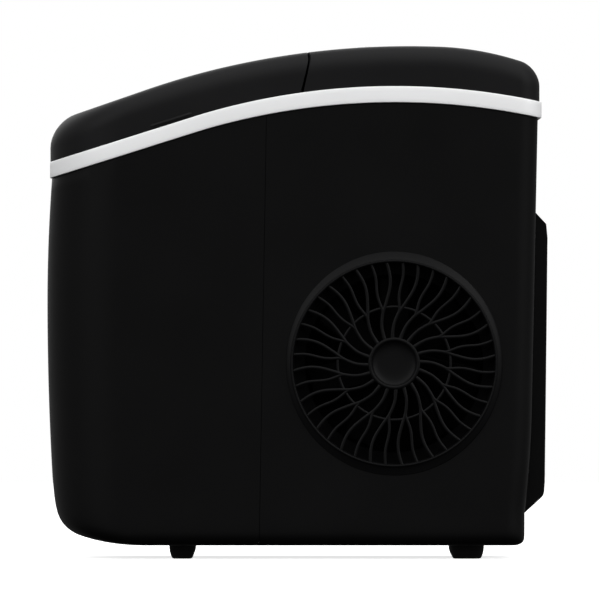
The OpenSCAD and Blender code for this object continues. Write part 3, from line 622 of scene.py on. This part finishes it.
rear = skin("rear_housing", shell_rows(False))
solidify(rear)
cut(rear, rod_cutter("x", FAN_Y, FAN_Z, 120, 150, FAN_OPENING_R, 160))
cut(rear, block_cutter(VENT_OPENING_X, REAR_WALL, VENT_OPENING_Z))
cut(rear, rod_cutter("y", GLAND_X, GLAND_Z, *REAR_WALL, GLAND_R, 48))
for x, z in HOUSING_SCREWS:
    cut(rear, rod_cutter("y", x, z, rear_y(z) - SCREW_SINK, REAR_WALL[1], 3.8, 32))
    cut(rear, rod_cutter("y", x, z, *REAR_WALL, 1.8, 24))
bevel(rear, 0.35)
soft_shade(rear)
dress(rear, "machine", M["housing_black"], ["rear_shell"])

# dark strips behind the seam between the two shells, in the painted shade black that stands for the shade in
# the gap: half width and height of each point
BACKING = [(140.5, 330), (140.5, 260), (140.5, 190), (140.5, 120), (140.5, 60), (140.5, 34),
           (140.3, 22), (139.5, 18), (138.1, 15.2), (136.4, 13.6), (134.7, 12.7)]
STRAIGHT = 5
backing_parts = []
for s in (1, -1):
    verts = []
    for i, (x, z) in enumerate(BACKING):
        lean = min(1, max(0, i - STRAIGHT) / STRAIGHT)
        for dy, depth in ((-4, 0), (4, 0), (4, 1.1), (-4, 1.1)):
            verts.append(warp(s * (x - depth * (1 - 0.8 * lean)), seam_y(z) + dy, z + depth * lean))
    backing_parts.append((verts, tube_faces(len(BACKING), 4)))
    # a thin tongue that stands in the seam where it runs under the floor edge
    tongue = [warp(s * x, seam_y(z) + dy, z)
              for x in (127, 131.5) for z in (9.7, 12.9) for dy in (-SEAM_HALF_GAP, SEAM_HALF_GAP)]
    backing_parts.append((tongue, BOX_FACES))
backing = joined("seam_backing", backing_parts)
# the backing and its tongues take the painted shade black: painted shade in the seam
dress(backing, "machine", PAINTED_SHADE_BLACK)

# ---------- trim band ----------
band_section = [
    (5.6, 0), (0.6, 0), (0.3, -0.08), (0.08, -0.3), (0, -0.6), (0, -3.5), (0, -BAND_H / 2),
    (0, 3.5 - BAND_H), (0, 0.6 - BAND_H), (0.08, 0.3 - BAND_H), (0.3, 0.08 - BAND_H), (0.6, -BAND_H),
    (5.6, -BAND_H)]
band_rows = []
for inset, dz in band_section:
    hw = HALF_W + 1.3 - inset
    fore = half_front(-181.6 + inset, 0, hw, FRONT_CORNER_R - inset, (30, 18, 8))
    aft = half_front(-178.8 + inset, 0, hw, REAR_CORNER_R + 1 - inset, (34, 8, 10))
    aft = mirrored([(x, -y, w) for x, y, w in aft])
    loop = mirrored(fore)[:-1] + aft[::-1][:-1]
    band_rows.append([(x, y, band_z(y) + dz) for x, y, _ in loop])
band_rows.append(band_rows[0])
band = skin("trim_ring", band_rows, wrap=True)
soft_shade(band, 40)
dress(band, "machine", M["trim_silver"], ["trim_band"])

# ---------- lid and rear cover ----------
SIDE_R = 15.0
ROUND_STEPS = 9
WALL_STEPS = 6


def edge_drop(r, d):
    """How far a rounded edge of radius r has fallen, d inward from the outside."""
    return 0 if d >= r else r - math.sqrt(r * r - (r - d) ** 2)


def fill_top(ring, n_across, n_along):
    """Inner points of a four-sided patch whose border is the closed ring.
    The ring starts at one corner: across, along, across, along."""
    n, m = n_across, n_along
    a = [ring[i] for i in range(n + 1)]
    b = [ring[n + i] for i in range(m + 1)]
    c = [ring[2 * n + m - i] for i in range(n + 1)]
    d = [ring[(2 * n + 2 * m - i) % len(ring)] for i in range(m + 1)]
    inside = []
    for j in range(1, m):
        v = j / m
        for i in range(1, n):
            u = i / n
            point = []
            for k in (0, 1):
                edges = (1 - v) * a[i][k] + v * c[i][k] + (1 - u) * d[j][k] + u * b[j][k]
                corners = ((1 - u) * (1 - v) * a[0][k] + u * (1 - v) * a[n][k]
                           + (1 - u) * v * c[0][k] + u * v * c[n][k])
                point.append(edges - corners)
            inside.append((point[0], point[1], top_z(point[1])))
    return inside


def patch_faces(first, ring_n, n, m):
    """Faces over the border ring (indices first...) and the inner points that follow it."""
    def index(i, j):
        if j == 0:
            return first + i
        if j == m:
            return first + 2 * n + m - i
        if i == 0:
            return first + (2 * n + 2 * m - j) % ring_n
        if i == n:
            return first + n + j
        return first + ring_n + (j - 1) * (n - 1) + (i - 1)

    return [(index(i, j), index(i + 1, j), index(i + 1, j + 1), index(i, j + 1))
            for i in range(n) for j in range(m)]


def crowned(name, end_r, joint_r, joint_y, far_y, corner, foot_z, flip):
    """A crowned cap over the band: rounded along its sides and its far end (the nose or the tail),
    and cut off square at the lid joint. joint_y(z) is the slope of that cut face."""
    sign = -1 if flip else 1
    side_n, arc_n, end_n = 34, 16, 8
    joint_n = arc_n // 2 + end_n
    verts = []
    rows = []
    levels = [("wall", v) for v in spread(0, 1, WALL_STEPS)]
    levels += [("round", math.radians(a)) for a in spread(0, 90, ROUND_STEPS)[1:]]
    for kind, value in levels:
        a = value if kind == "round" else 0
        v = 1 if kind == "round" else value
        turn_in, turn_down = 1 - math.cos(a), 1 - math.sin(a)
        hw = HALF_W - SIDE_R * turn_in
        ye = far_y + sign * end_r * turn_in
        rc = max(1.2, corner - 0.5 * (SIDE_R + end_r) * turn_in)

        def level(y, drop):
            low = foot_z(y)
            return low + (top_z(y) - drop - low) * v

        half = []
        for x in spread(0, hw, joint_n)[:-1]:
            fall = edge_drop(SIDE_R, HALF_W - x) + joint_r * turn_down
            y = joint_y(HINGE_Z)
            for _ in range(3):
                z = level(y, fall)
                y = joint_y(z) - sign * joint_r * turn_in
            half.append((x, y, z))
        y = joint_y(350)
        for _ in range(3):
            z = level(y, SIDE_R * turn_down + joint_r * turn_down * 0.5)
            y = joint_y(z) - sign * joint_r * turn_in
        outline = half_front(sign * ye, sign * y, hw, rc, (side_n, arc_n, end_n))
        for i, (x, yy, w) in enumerate(outline):
            yy *= sign
            fall = lerp(SIDE_R, end_r, w) * turn_down + (joint_r * turn_down * 0.5 if i == 0 else 0)
            half.append((x, yy, level(yy, fall)))
        full = half + [(-x, y, z) for x, y, z in reversed(half[1:-1])]
        rows.append(full)
    ring_n = len(rows[0])
    for row in rows:
        verts += row
    faces = grid_faces(len(rows), ring_n, wrap=True)
    # the top patch: its ring starts at the +X end of the joint
    across, along = 2 * joint_n, side_n + arc_n // 2
    start = joint_n + along
    ring = rows[-1][start:] + rows[-1][:start]
    first = len(verts)
    verts += ring + fill_top(ring, across, along)
    faces += patch_faces(first, ring_n, across, along)
    return put(name, verts, faces, bend=True)


def lid_joint(z):
    """Rear face of the lid: a slope, then upright near the hinge so that it clears the cover as it turns."""
    slope_top = HINGE_Z - HINGE_R * math.sin(math.radians(10))
    return min(8.6, HINGE_Y + HINGE_R * math.cos(math.radians(10)) - 0.25 * max(0, slope_top - z))


def cover_joint(z):
    """Front face of the rear cover: a slope, then the hollow round the lid's hinge edge."""
    if z < 364.6:
        return 4.0 + 0.224 * (z - 338)
    reach = (HINGE_R + 1.2) ** 2 - (z - HINGE_Z) ** 2
    return max(8.7, HINGE_Y + math.sqrt(max(0, reach)))


lid = crowned("lid_cap", 18.0, 1.8, lid_joint, LID_FRONT_Y, FRONT_CORNER_R - 1, lambda y: band_z(y) + 0.45,
              False)
solidify(lid, 1.6)
WINDOW_Y = -87
window_at = [(x, y + WINDOW_Y) for x, y in rounded_rect(88.3, 55.3, 9, 8)]
cut(lid, prism("cutter", window_at, 290, 400))
# slots that leave room for the two hinge brackets
SLOT_W = 11.6
for x0 in (-92.2 - SLOT_W, 92.2):
    cut(lid, block_cutter((x0, x0 + SLOT_W), (HINGE_Y - 7, 14), (338, HINGE_Z)))
    cut(lid, rod_cutter("x", HINGE_Y, HINGE_Z, x0, x0 + SLOT_W, 3.1, 32))
bevel(lid, 0.4)
soft_shade(lid)
dress(lid, "lid", M["lid_black"], ["lid_shell"])

cover = crowned("rear_cover_cap", 13.5, 0.6, cover_joint, COVER_REAR_Y, REAR_CORNER_R + 0.8,
                lambda y: band_z(y) + 0.1, True)
solidify(cover, 2.3)
panel_hole = [(x, y + PANEL_Y) for x, y in rounded_rect(72.3, 23.3, 6.3, 6)]
cut(cover, prism("cutter", panel_hole, 340, 400))
bevel(cover, 0.3)
soft_shade(cover)
dress(cover, "machine", M["lid_black"], ["rear_top_cover"])


def about_hinge(r, a0, a1, n=8):
    turns = [math.radians(a) for a in spread(a0, a1, n)]
    return [(HINGE_Y + r * math.cos(t), HINGE_Z + r * math.sin(t)) for t in turns]


# dark strips that close the joint, in the painted shade black that stands for the shade in the gap: some
# stand on the machine and some turn with the lid, side by side
seal_line = [(lid_joint(z) + 0.3, z) for z in (340.9, 350, 356, 362)] + [(9.1, 363), (9.75, 364.3)]
seal_line += [(cover_joint(z) + 0.4, z) for z in (364.3, 356, 350, 340.9)]
strip_line = [(lid_joint(z) + 0.85, z) for z in (361.5, 352, 342)]
strip_line += [(lid_joint(z) - 0.6, z) for z in (342, 352, 361.5)]
bead_line = about_hinge(5.12, 34, -62) + [(HINGE_Y + 1.5, HINGE_Z - 3), (HINGE_Y + 1.5, HINGE_Z + 1.5)]
# the lip of the cover reaches over the top of the joint, just clear of the turning lid
lip_line = about_hinge(5.1, 34, 53, 6) + [(y, top_z(y) - 0.03) for y in (8.7, 10.2)] + [(10.2, HINGE_Z + 2.2)]
for name, body, line, spans, slot, look in (
        ("hinge_gap_seal", "machine", seal_line, ((-104.6, -60), (60, 104.6)), "part_dark", PAINTED_SHADE_BLACK),
        ("hinge_gap_strip", "lid", strip_line, ((-138.8, -105.2), (105.2, 138.8)), "part_dark", PAINTED_SHADE_BLACK),
        ("hinge_gap_bead", "lid", bead_line, ((-127, -105.2), (105.2, 127)), "part_dark", PAINTED_SHADE_BLACK),
        ("hinge_cover_lip", "machine", lip_line, ((-127, 127),), "lid_black", M["lid_black"])):
    sides = [[(x, y, z) for x in span for y, z in line] for span in spans]
    strip = joined(name, [(verts, tube_faces(2, len(line))) for verts in sides])
    soft_shade(strip, 40)
    dress(strip, body, look)

pane = pad("lid_window_pane", lambda d: rounded_rect(88 - d, 55 - d, 8.7 - d, 8),
           lambda x, y: top_z(y) - 0.15, 2.0, 0.5, inner=10, centre=(0, WINDOW_Y))
soft_shade(pane, 40)
dress(pane, "lid", M["smoke_window"], ["lid_window"])

# finger lips at the lower edge of the lid's sides
lip_parts = []
for s in (1, -1):
    path = spread(-107, -76.5, 14)
    verts = []
    for i, y in enumerate(path):
        ease = math.sin(math.pi * min(1, min(i, len(path) - 1 - i) / 2.5) / 2)
        out = lerp(0.15, 1.25, ease)
        z = band_z(y) + 2.6
        side = warp(HALF_W, y, z)[0]
        section = [(-1.2, 1.7), (0.1, 1.5), (out - 0.3, 0.75), (out, 0.2), (out, -0.5),
                   (out - 0.35, -0.9), (-1.2, -0.95)]
        verts += [(s * (side + dx), y, z + dz) for dx, dz in section]
    lip_parts.append((verts, tube_faces(len(path), len(section))))
lips = joined("lid_finger_lips", lip_parts)
soft_shade(lips, 50)
dress(lips, "lid", M["lid_black"])

# ---------- fan grille ----------
bezel_profile = [
    (73.0, -3.6), (73.8, 1.4), (73.95, 2.6), (74.25, 3.1), (74.7, 3.3), (75.1, 3.3), (75.5, 3.1),
    (75.75, 2.7), (76.0, 2.25), (76.6, 1.95), (78.4, 1.05), (79.6, 0.45), (80.4, 0.05), (80.8, -0.5),
    (79.6, -1.4), (75.5, -3.6)]
CONE_FOOT = 9


def bezel_reach(k, r, a):
    """Points of the outer cone beyond CONE_FOOT spread into an oval, taller than it is wide."""
    grow = min(1, max(0, (k - CONE_FOOT) / 3)) if k < len(bezel_profile) - 1 else 0
    return r + grow * (2.6 * math.cos(a) ** 2 - 1.4)


bezel = lathe("grille_bezel", bezel_profile, (HALF_W, FAN_Y, FAN_Z), 192, stretch=bezel_reach)
soft_shade(bezel, 28)
dress(bezel, "machine", M["grille_black"], ["fan_grille"])

SPOKES = 20
FIRST_SPOKE = -3.4
FACE = HALF_W + 1.7
# each spoke is an S-shaped trunk with one branch: radius, and degrees round from its root
TRUNK = [(17.5, -0.3), (19.7, 0), (23, 0.9), (26.7, 2.1), (29.8, 3.7), (32.6, 5.5), (35.6, 7.4),
         (38.7, 9.5), (41.2, 11.5), (43.9, 13.4), (47.5, 15.3), (52.5, 17.4), (58, 18.6), (63.5, 18.7),
         (69, 18.0), (74.2, 17.0)]
BRANCH = [(34.6, 6.7), (36.8, 8.2), (39.2, 9.0), (42, 8.6), (45.4, 7.9), (49.1, 7.5), (53.6, 7.8),
          (58.4, 8.6), (63.4, 9.2), (68.5, 9.0), (74.2, 8.3)]


def spoke_section(width, face, depth):
    h = width / 2
    return [(-h, face - 0.7), (-h * 0.55, face - 0.12), (0, face), (h * 0.55, face - 0.12), (h, face - 0.7),
            (h * 0.7, face - depth), (-h * 0.7, face - depth)]


def ring_part(r_in, r_out, face, depth, n=120):
    mid, h = (r_in + r_out) / 2, (r_out - r_in) / 2
    verts = []
    for i in range(n):
        a = math.tau * i / n
        for side, x in spoke_section(2 * h, face, depth):
            r = mid + side
            verts.append((x, FAN_Y + r * math.sin(a), FAN_Z + r * math.cos(a)))
    return verts, ring_faces(n, len(verts) // n)


spoke_parts = []
for s in range(SPOKES):
    for points, width in ((TRUNK, 2.35), (BRANCH, 2.15)):
        path = smooth_path(points, 2)
        where = []
        for r, deg in path:
            a = math.radians(FIRST_SPOKE + s * 360 / SPOKES + deg)
            where.append((FAN_Y + r * math.sin(a), FAN_Z + r * math.cos(a)))
        across = [1 + 0.25 * max(0, 1 - (r - 17) / 10) for r, _ in path]
        spoke_parts.append(sweep(where, spoke_section(width, FACE, 3.2), across))
spoke_parts.append(ring_part(40.3, 42.3, FACE - 0.5, 2.4))
spokes = joined("grille_spokes", spoke_parts)
soft_shade(spokes, 45)
dress(spokes, "machine", M["grille_black"])

hub_profile = [
    (0.01, -1.5), (4, -1.5), (8, -1.45), (11.5, -1.3), (14, -0.7), (15.3, 0.0), (15.8, 0.45),
    (16.15, 1.0), (16.5, 1.75), (16.9, 2.15), (17.5, 2.3), (18.2, 2.25), (18.8, 1.9), (19.1, 1.3),
    (18.9, -2.4), (0.01, -2.4)]
hub = lathe("grille_hub", hub_profile, (HALF_W, FAN_Y, FAN_Z), 96, wrap=False)
soft_shade(hub, 35)
dress(hub, "machine", M["grille_black"])

# the collar round the fan opening takes the painted shade black: painted shade behind the grille, closing off
# the pipes and foam
collar_profile = [(65.3, -6.15), (67.4, -6.15), (73.9, -3.9), (73.5, -3.0), (67.2, -5.2), (65.3, -5.4)]
collar = lathe("grille_collar", collar_profile, (HALF_W, FAN_Y, FAN_Z), 128)
soft_shade(collar, 40)
dress(collar, "machine", PAINTED_SHADE_BLACK)

# a black wire screen between the condenser and the fan, in the painted shade black: painted shade that
# darkens the view through the grille
SCREEN_X, SCREEN_R, SCREEN_HUB, SCREEN_PITCH, SCREEN_WIRE = 104.6, 64.6, 21.5, 2.6, 1.4


def wire(along, x, u, v0, v1):
    """One flat wire of the screen, u off the fan axis, running from v0 to v1."""
    verts = []
    for dx in (-0.25, 0.25):
        for v in (v0, v1):
            for w in (-SCREEN_WIRE / 2, SCREEN_WIRE / 2):
                y, z = (v, u + w) if along == "y" else (u + w, v)
                verts.append((x + dx, FAN_Y + y, FAN_Z + z))
    return verts, BOX_FACES


wires = []
steps = int(SCREEN_R / SCREEN_PITCH)
for layer, shift in ((0, 0), (-1.3, 0.5)):
    for i in range(-steps, steps):
        u = (i + shift) * SCREEN_PITCH
        reach = math.sqrt(SCREEN_R**2 - u * u)
        clear = math.sqrt(SCREEN_HUB**2 - u * u) if abs(u) < SCREEN_HUB else 0
        for v0, v1 in ((-reach, -clear), (clear, reach)):
            wires.append(wire("y", SCREEN_X + layer, u, v0, v1))
            wires.append(wire("z", SCREEN_X + layer + 0.5, u, v0, v1))
screen = joined("painted_shade_screen", wires)
dress(screen, "machine", PAINTED_SHADE_BLACK)

# ---------- rear vent cover ----------
VENT_HW = 104.0
VENT_FACE_Y = 182.1
VENT_SCREWS = [(x, z) for x in (-94, 94) for z in (64, 236)]


def vent_outline(t):
    return [(rear_y(33) + 0.4, 33.6 + t), (179.2 - t, 45.0 + t), (180.5 - t, 46.9 + t), (181.1 - t, 49.6),
            (181.4 - t, 55), (VENT_FACE_Y - t, 110), (182.85 - t, 178), (183.45 - t, 235),
            (182.5 - t, 245 - t), (rear_y(253) + 0.4, 253 - t)]


def vent_body(t, hw, backs):
    """Side outline of the bump closed along the wall, drawn across the machine."""
    outline = vent_outline(t) + backs
    verts = [(x, y, z) for x in (-hw, hw) for y, z in outline]
    return put("vent_frame", verts, tube_faces(2, len(outline)))


vent = vent_body(0, VENT_HW, [(rear_y(z) + 0.4, z) for z in (200, 110, 85, 60)])
cut(vent, vent_body(2, VENT_HW - 3, [(160, 240), (150, 40)]))
for x0 in (-76, 4):
    opening = [(x + x0 + 36, z + 150.5) for x, z in rounded_rect(36, 80.5, 3, 4)]
    cut(vent, through_cutter(opening, 160, 190))
for x, z in VENT_SCREWS:
    cut(vent, rod_cutter("y", x, z, 160, 190, 3.9, 32))
bevel(vent, 1.0, 3, 25)
soft_shade(vent, 30)
dress(vent, "machine", M["housing_black"], ["rear_vent_cover"])

slats = []
SLATS = 14
SLAT_LENGTH = 72.8
SLATS_Z, SLATS_HEIGHT = 70, 161
for x0 in (-76.4, 3.6):
    for i in range(SLATS):
        z = SLATS_Z + SLATS_HEIGHT * (i + 0.5) / SLATS
        out = VENT_FACE_Y + (z - 110) * 0.0108 - 0.5
        loop = [(out, z - 2.6), (out - 0.5, z - 3.0), (out - 1.1, z - 2.9), (out - 7.6, z + 3.4),
                (out - 8.1, z + 4.2), (out - 7.7, z + 4.7), (out - 7.0, z + 4.6), (out - 0.2, z - 1.9)]
        verts = [(x, y, zz) for x in (x0, x0 + SLAT_LENGTH) for y, zz in loop]
        slats.append((verts, tube_faces(2, len(loop))))
louvres = joined("vent_louvres", slats)
soft_shade(louvres, 50)
dress(louvres, "machine", M["housing_black"])

# a dust filter stands just inside the rear shell, wider than the opening behind the slats; its painted shade
# black stands for the shade behind the slats
FILTER_Z = 151
felt_at = rounded_rect(98, 92, 3, 4)
felt = [(x, rear_y(z + FILTER_Z) - depth, z + FILTER_Z) for depth in (4.4, 3.2) for x, z in felt_at]
felt = put("vent_filter", felt, tube_faces(2, len(felt_at)))
dress(felt, "machine", PAINTED_SHADE_BLACK)

# bosses that carry the vent screws
bosses = []
BOSS_SIDES = 32
for x, z in VENT_SCREWS:
    root = rear_y(z) + 0.6
    profile = [(1.6, root), (4.4, root), (4.4, 181.2), (3.9, 181.6), (1.9, 181.6), (1.6, 181.2)]
    boss = []
    for i in range(BOSS_SIDES):
        a = math.tau * i / BOSS_SIDES
        boss += [(x + r * math.cos(a), y, z + r * math.sin(a)) for r, y in profile]
    bosses.append((boss, ring_faces(BOSS_SIDES, len(profile))))
boss_set = joined("vent_bosses", bosses)
soft_shade(boss_set, 40)
dress(boss_set, "machine", M["housing_black"])

# ---------- feet ----------
def foot(name, x, y, r):
    profile = [(2.3, 3.4), (4.6, 3.4), (4.6, 0.8), (5.3, 0.0), (r - 3.6, 0.0), (r - 2.7, 0.25),
               (r - 2.0, 0.9), (r - 1.5, 1.9), (r - 0.9, 3.4), (r - 0.35, 5.4), (r, 8.4), (r, 11.2),
               (r - 0.6, 12.1), (2.3, 12.1)]
    return lathe(name, profile, (x, y, 0), 72, axis="z")


for pair, y, r in (("front", -84, 9.5), ("rear", 124.4, 12.5)):
    for side, x in (("left", -105), ("right", 105)):
        piece = foot(f"{pair}_{side}_foot", x, y, r)
        soft_shade(piece, 50)
        dress(piece, "machine", M["foot_rubber"], [f"{pair}_feet"])

# ---------- control panel ----------
def panel_top(x, y):
    return top_z(y) + 0.2


def circle(r, n=64, cx=0.0, cy=0.0):
    return [(cx + r * math.cos(math.tau * i / n), cy + r * math.sin(math.tau * i / n)) for i in range(n)]


KEY_X = 46
KEY_TOP = top_z(PANEL_Y) + 0.9
LENS_XS = (-20, -10, 0, 10, 20)
panel = pad("control_fascia", lambda d: rounded_rect(72 - d, 23 - d, 6 - d, 6), panel_top, 3.0, 0.45,
            inner=8, centre=(0, PANEL_Y))
for x in (-KEY_X, KEY_X):
    cut(panel, prism("cutter", circle(8.35, 64, x, PANEL_Y), 350, 390))
for x in LENS_XS:
    cut(panel, prism("cutter", circle(2.6, 32, x, PANEL_Y), 350, 390))
bevel(panel, 0.2, 2, 40)
soft_shade(panel, 35)
dress(panel, "machine", M["panel_gloss"], ["control_panel"])


def key_face(x0):
    return lambda x, y: KEY_TOP - 0.004 * (x - x0) ** 2 - 0.004 * (y - PANEL_Y) ** 2


def flat_mark(name, outlines, body, face, lift=0.06, mat=DARK_MARK):
    """Thin printed marks that lie on a curved face. Each is an outline, or a band between two."""
    parts = []
    for outline, hole in outlines:
        n = len(outline)
        loop = outline + (hole or [])
        m = len(loop)
        verts = [(x, y, face(x, y) + dz) for dz in (-0.1, lift) for x, y in loop]
        if hole:
            faces = []
            for i in range(n - 1):
                faces += [(i, i + 1, n + i + 1, n + i), (m + i, m + i + 1, m + n + i + 1, m + n + i),
                          (i, i + 1, m + i + 1, m + i), (n + i, n + i + 1, m + n + i + 1, m + n + i)]
            if math.dist(outline[0], outline[-1]) >= 1e-6:
                faces += [(0, n, m + n, m), (n - 1, 2 * n - 1, m + 2 * n - 1, m + n - 1)]
        else:
            faces = tube_faces(2, n)
        parts.append((verts, faces))
    mark = joined(name, parts)
    soft_shade(mark, 40)
    dress(mark, body, mat)


def arc_band(cx, cy, r0, r1, a0, a1, n=48):
    turns = [math.radians(a) for a in spread(a0, a1, n)]
    return tuple([(cx + r * math.cos(t), cy + r * math.sin(t)) for t in turns] for r in (r1, r0))


def bar(cx, cy, w, h):
    return [(cx + x, cy + y) for x, y in rounded_rect(w / 2, h / 2, min(w, h) / 2 - 0.01, 4)], None


def frame_mark(cx, cy, half, line):
    outer = [(cx + x, cy + y) for x, y in rounded_rect(half, half, half * 0.35, 5)]
    inner = [(cx + x, cy + y) for x, y in rounded_rect(half - line, half - line, half * 0.35 - line * 0.6, 5)]
    return outer + outer[:1], inner + inner[:1]


for key, x0, node in (("power_key", -KEY_X, "power_button"), ("size_key", KEY_X, "size_button")):
    cap = pad(f"{key}_cap", lambda d: circle(8 - d), key_face(x0), 5.2, 0.6, inner=4, centre=(x0, PANEL_Y))
    skirt = lathe(f"{key}_skirt", [(0.02, -6.4), (9.8, -6.4), (10, -6.1), (10, -5.3), (9.7, -5.1),
                                   (0.02, -5.1)],
                  (x0, PANEL_Y, KEY_TOP), 64, axis="z", wrap=False)
    for piece in (cap, skirt):
        soft_shade(piece, 40)
        dress(piece, key, M["button_silver"], [node])
power_marks = [arc_band(-KEY_X, PANEL_Y - 0.2, 2.6, 3.2, 120, 420), bar(-KEY_X, PANEL_Y + 2.4, 0.6, 3.4)]
flat_mark("power_symbol", power_marks, "power_key", key_face(-KEY_X))
size_marks = [frame_mark(44.2, PANEL_Y, 1.3, 0.45), frame_mark(48.0, PANEL_Y, 2.2, 0.5)]
flat_mark("size_symbol", size_marks, "size_key", key_face(KEY_X))


def lens_top(x0):
    return lambda x, y: panel_top(x, y) + 0.15 - 0.02 * ((x - x0) ** 2 + (y - PANEL_Y) ** 2)


for i, x0 in enumerate(LENS_XS):
    lens = pad(f"status_lens_{i + 1}", lambda d: circle(2.5 - d, 32), lens_top(x0), 3.0, 0.3,
               inner=3, centre=(x0, PANEL_Y))
    soft_shade(lens, 40)
    dress(lens, "machine", M["lens_clear"], ["indicator_lenses"])

LEGEND_Y = 61.5
legend = [frame_mark(-20, LEGEND_Y, 1.1, 0.4), frame_mark(-10, LEGEND_Y, 2.0, 0.45)]
legend += [bar(0, y, 4.2, 0.6) for y in (LEGEND_Y, 62.9, 60.1)]
legend += [arc_band(10, LEGEND_Y, 1.5, 2.0, 90, 450), bar(20, LEGEND_Y, 0.6, 4.0),
           bar(20, LEGEND_Y, 4.0, 0.6)]
flat_mark("panel_legend", legend, "machine", panel_top, 0.05, ICON)

# ---------- stage, lights and camera ----------
scene = bpy.context.scene
scene.view_settings.view_transform = "Standard"
scene.view_settings.look = "None"

FLOOR_REACH = 8
floor_mesh = bpy.data.meshes.new("floor")
corners = [(x * FLOOR_REACH, y * FLOOR_REACH, 0) for x, y in ((-1, -1), (1, -1), (1, 1), (-1, 1))]
floor_mesh.from_pydata(corners, [], [(0, 1, 2, 3)])
floor = bpy.data.objects.new("floor", floor_mesh)
scene.collection.objects.link(floor)
floor_mat = bpy.data.materials.new("pale_floor")
floor_mat.use_nodes = True
floor_bsdf = floor_mat.node_tree.nodes["Principled BSDF"]
floor_bsdf.inputs["Base Color"].default_value = (0.9, 0.9, 0.9, 1)
floor_bsdf.inputs["Roughness"].default_value = 1.0
floor_bsdf.inputs["Specular IOR Level"].default_value = 0.0
floor_bsdf.inputs["Emission Color"].default_value = (1, 1, 1, 1)
floor_bsdf.inputs["Emission Strength"].default_value = 0.75
floor_mesh.materials.append(floor_mat)
floor.visible_glossy = False
floor.visible_diffuse = False

world = bpy.data.worlds.new("studio")
scene.world = world
world.use_nodes = True
wt = world.node_tree
wt.nodes.clear()
out = wt.nodes.new("ShaderNodeOutputWorld")
seen = wt.nodes.new("ShaderNodeBackground")
seen.inputs["Color"].default_value = (1, 1, 1, 1)
seen.inputs["Strength"].default_value = 1.0
room = wt.nodes.new("ShaderNodeBackground")
room.inputs["Color"].default_value = (1, 1, 1, 1)
aim = wt.nodes.new("ShaderNodeTexCoord")
split = wt.nodes.new("ShaderNodeSeparateXYZ")
wt.links.new(aim.outputs["Generated"], split.inputs["Vector"])
ramp = wt.nodes.new("ShaderNodeMapRange")
ramp.inputs["From Min"].default_value = -0.6
ramp.inputs["From Max"].default_value = 1.0
ramp.inputs["To Min"].default_value = 0.02
ramp.inputs["To Max"].default_value = 0.9
wt.links.new(split.outputs["Z"], ramp.inputs["Value"])
wt.links.new(ramp.outputs["Result"], room.inputs["Strength"])
ray = wt.nodes.new("ShaderNodeLightPath")
pick = wt.nodes.new("ShaderNodeMixShader")
wt.links.new(ray.outputs["Is Camera Ray"], pick.inputs["Fac"])
wt.links.new(room.outputs[0], pick.inputs[1])
wt.links.new(seen.outputs[0], pick.inputs[2])
wt.links.new(pick.outputs[0], out.inputs["Surface"])


def softbox(name, at, aim, size, watts):
    data = bpy.data.lights.new(name, "AREA")
    data.shape = "RECTANGLE"
    data.size, data.size_y = size
    data.energy = watts
    lamp = bpy.data.objects.new(name, data)
    lamp.location = at
    direction = [b - a for a, b in zip(at, aim)]
    lamp.rotation_euler = Vector(direction).to_track_quat("-Z", "Y").to_euler()
    lamp.visible_camera = False
    scene.collection.objects.link(lamp)


softbox("top_box", (0.6, 0.2, 2.2), (0, 0, 0.25), (2.4, 2.4), 24)
softbox("front_box", (1.9, -2.1, 1.4), (0, -0.05, 0.2), (2.2, 2.0), 27)
softbox("rear_box", (1.8, 2.1, 1.4), (0, 0.05, 0.2), (2.2, 2.0), 35)
softbox("left_box", (-2.2, -0.6, 1.3), (0, 0, 0.2), (2.0, 2.0), 12)

camera_data = bpy.data.cameras.new("camera")
# a very long lens: the photo is almost without perspective
camera_data.lens = 1600
camera_data.sensor_width = 36
camera_data.clip_end = 200
camera = bpy.data.objects.new("camera", camera_data)
PICTURE_SPAN = 0.4415
camera.location = (0.07 + PICTURE_SPAN * camera_data.lens / camera_data.sensor_width, 0.0022, 0.1886)
camera.rotation_euler = (math.radians(90), 0, math.radians(90))
scene.collection.objects.link(camera)
scene.camera = camera
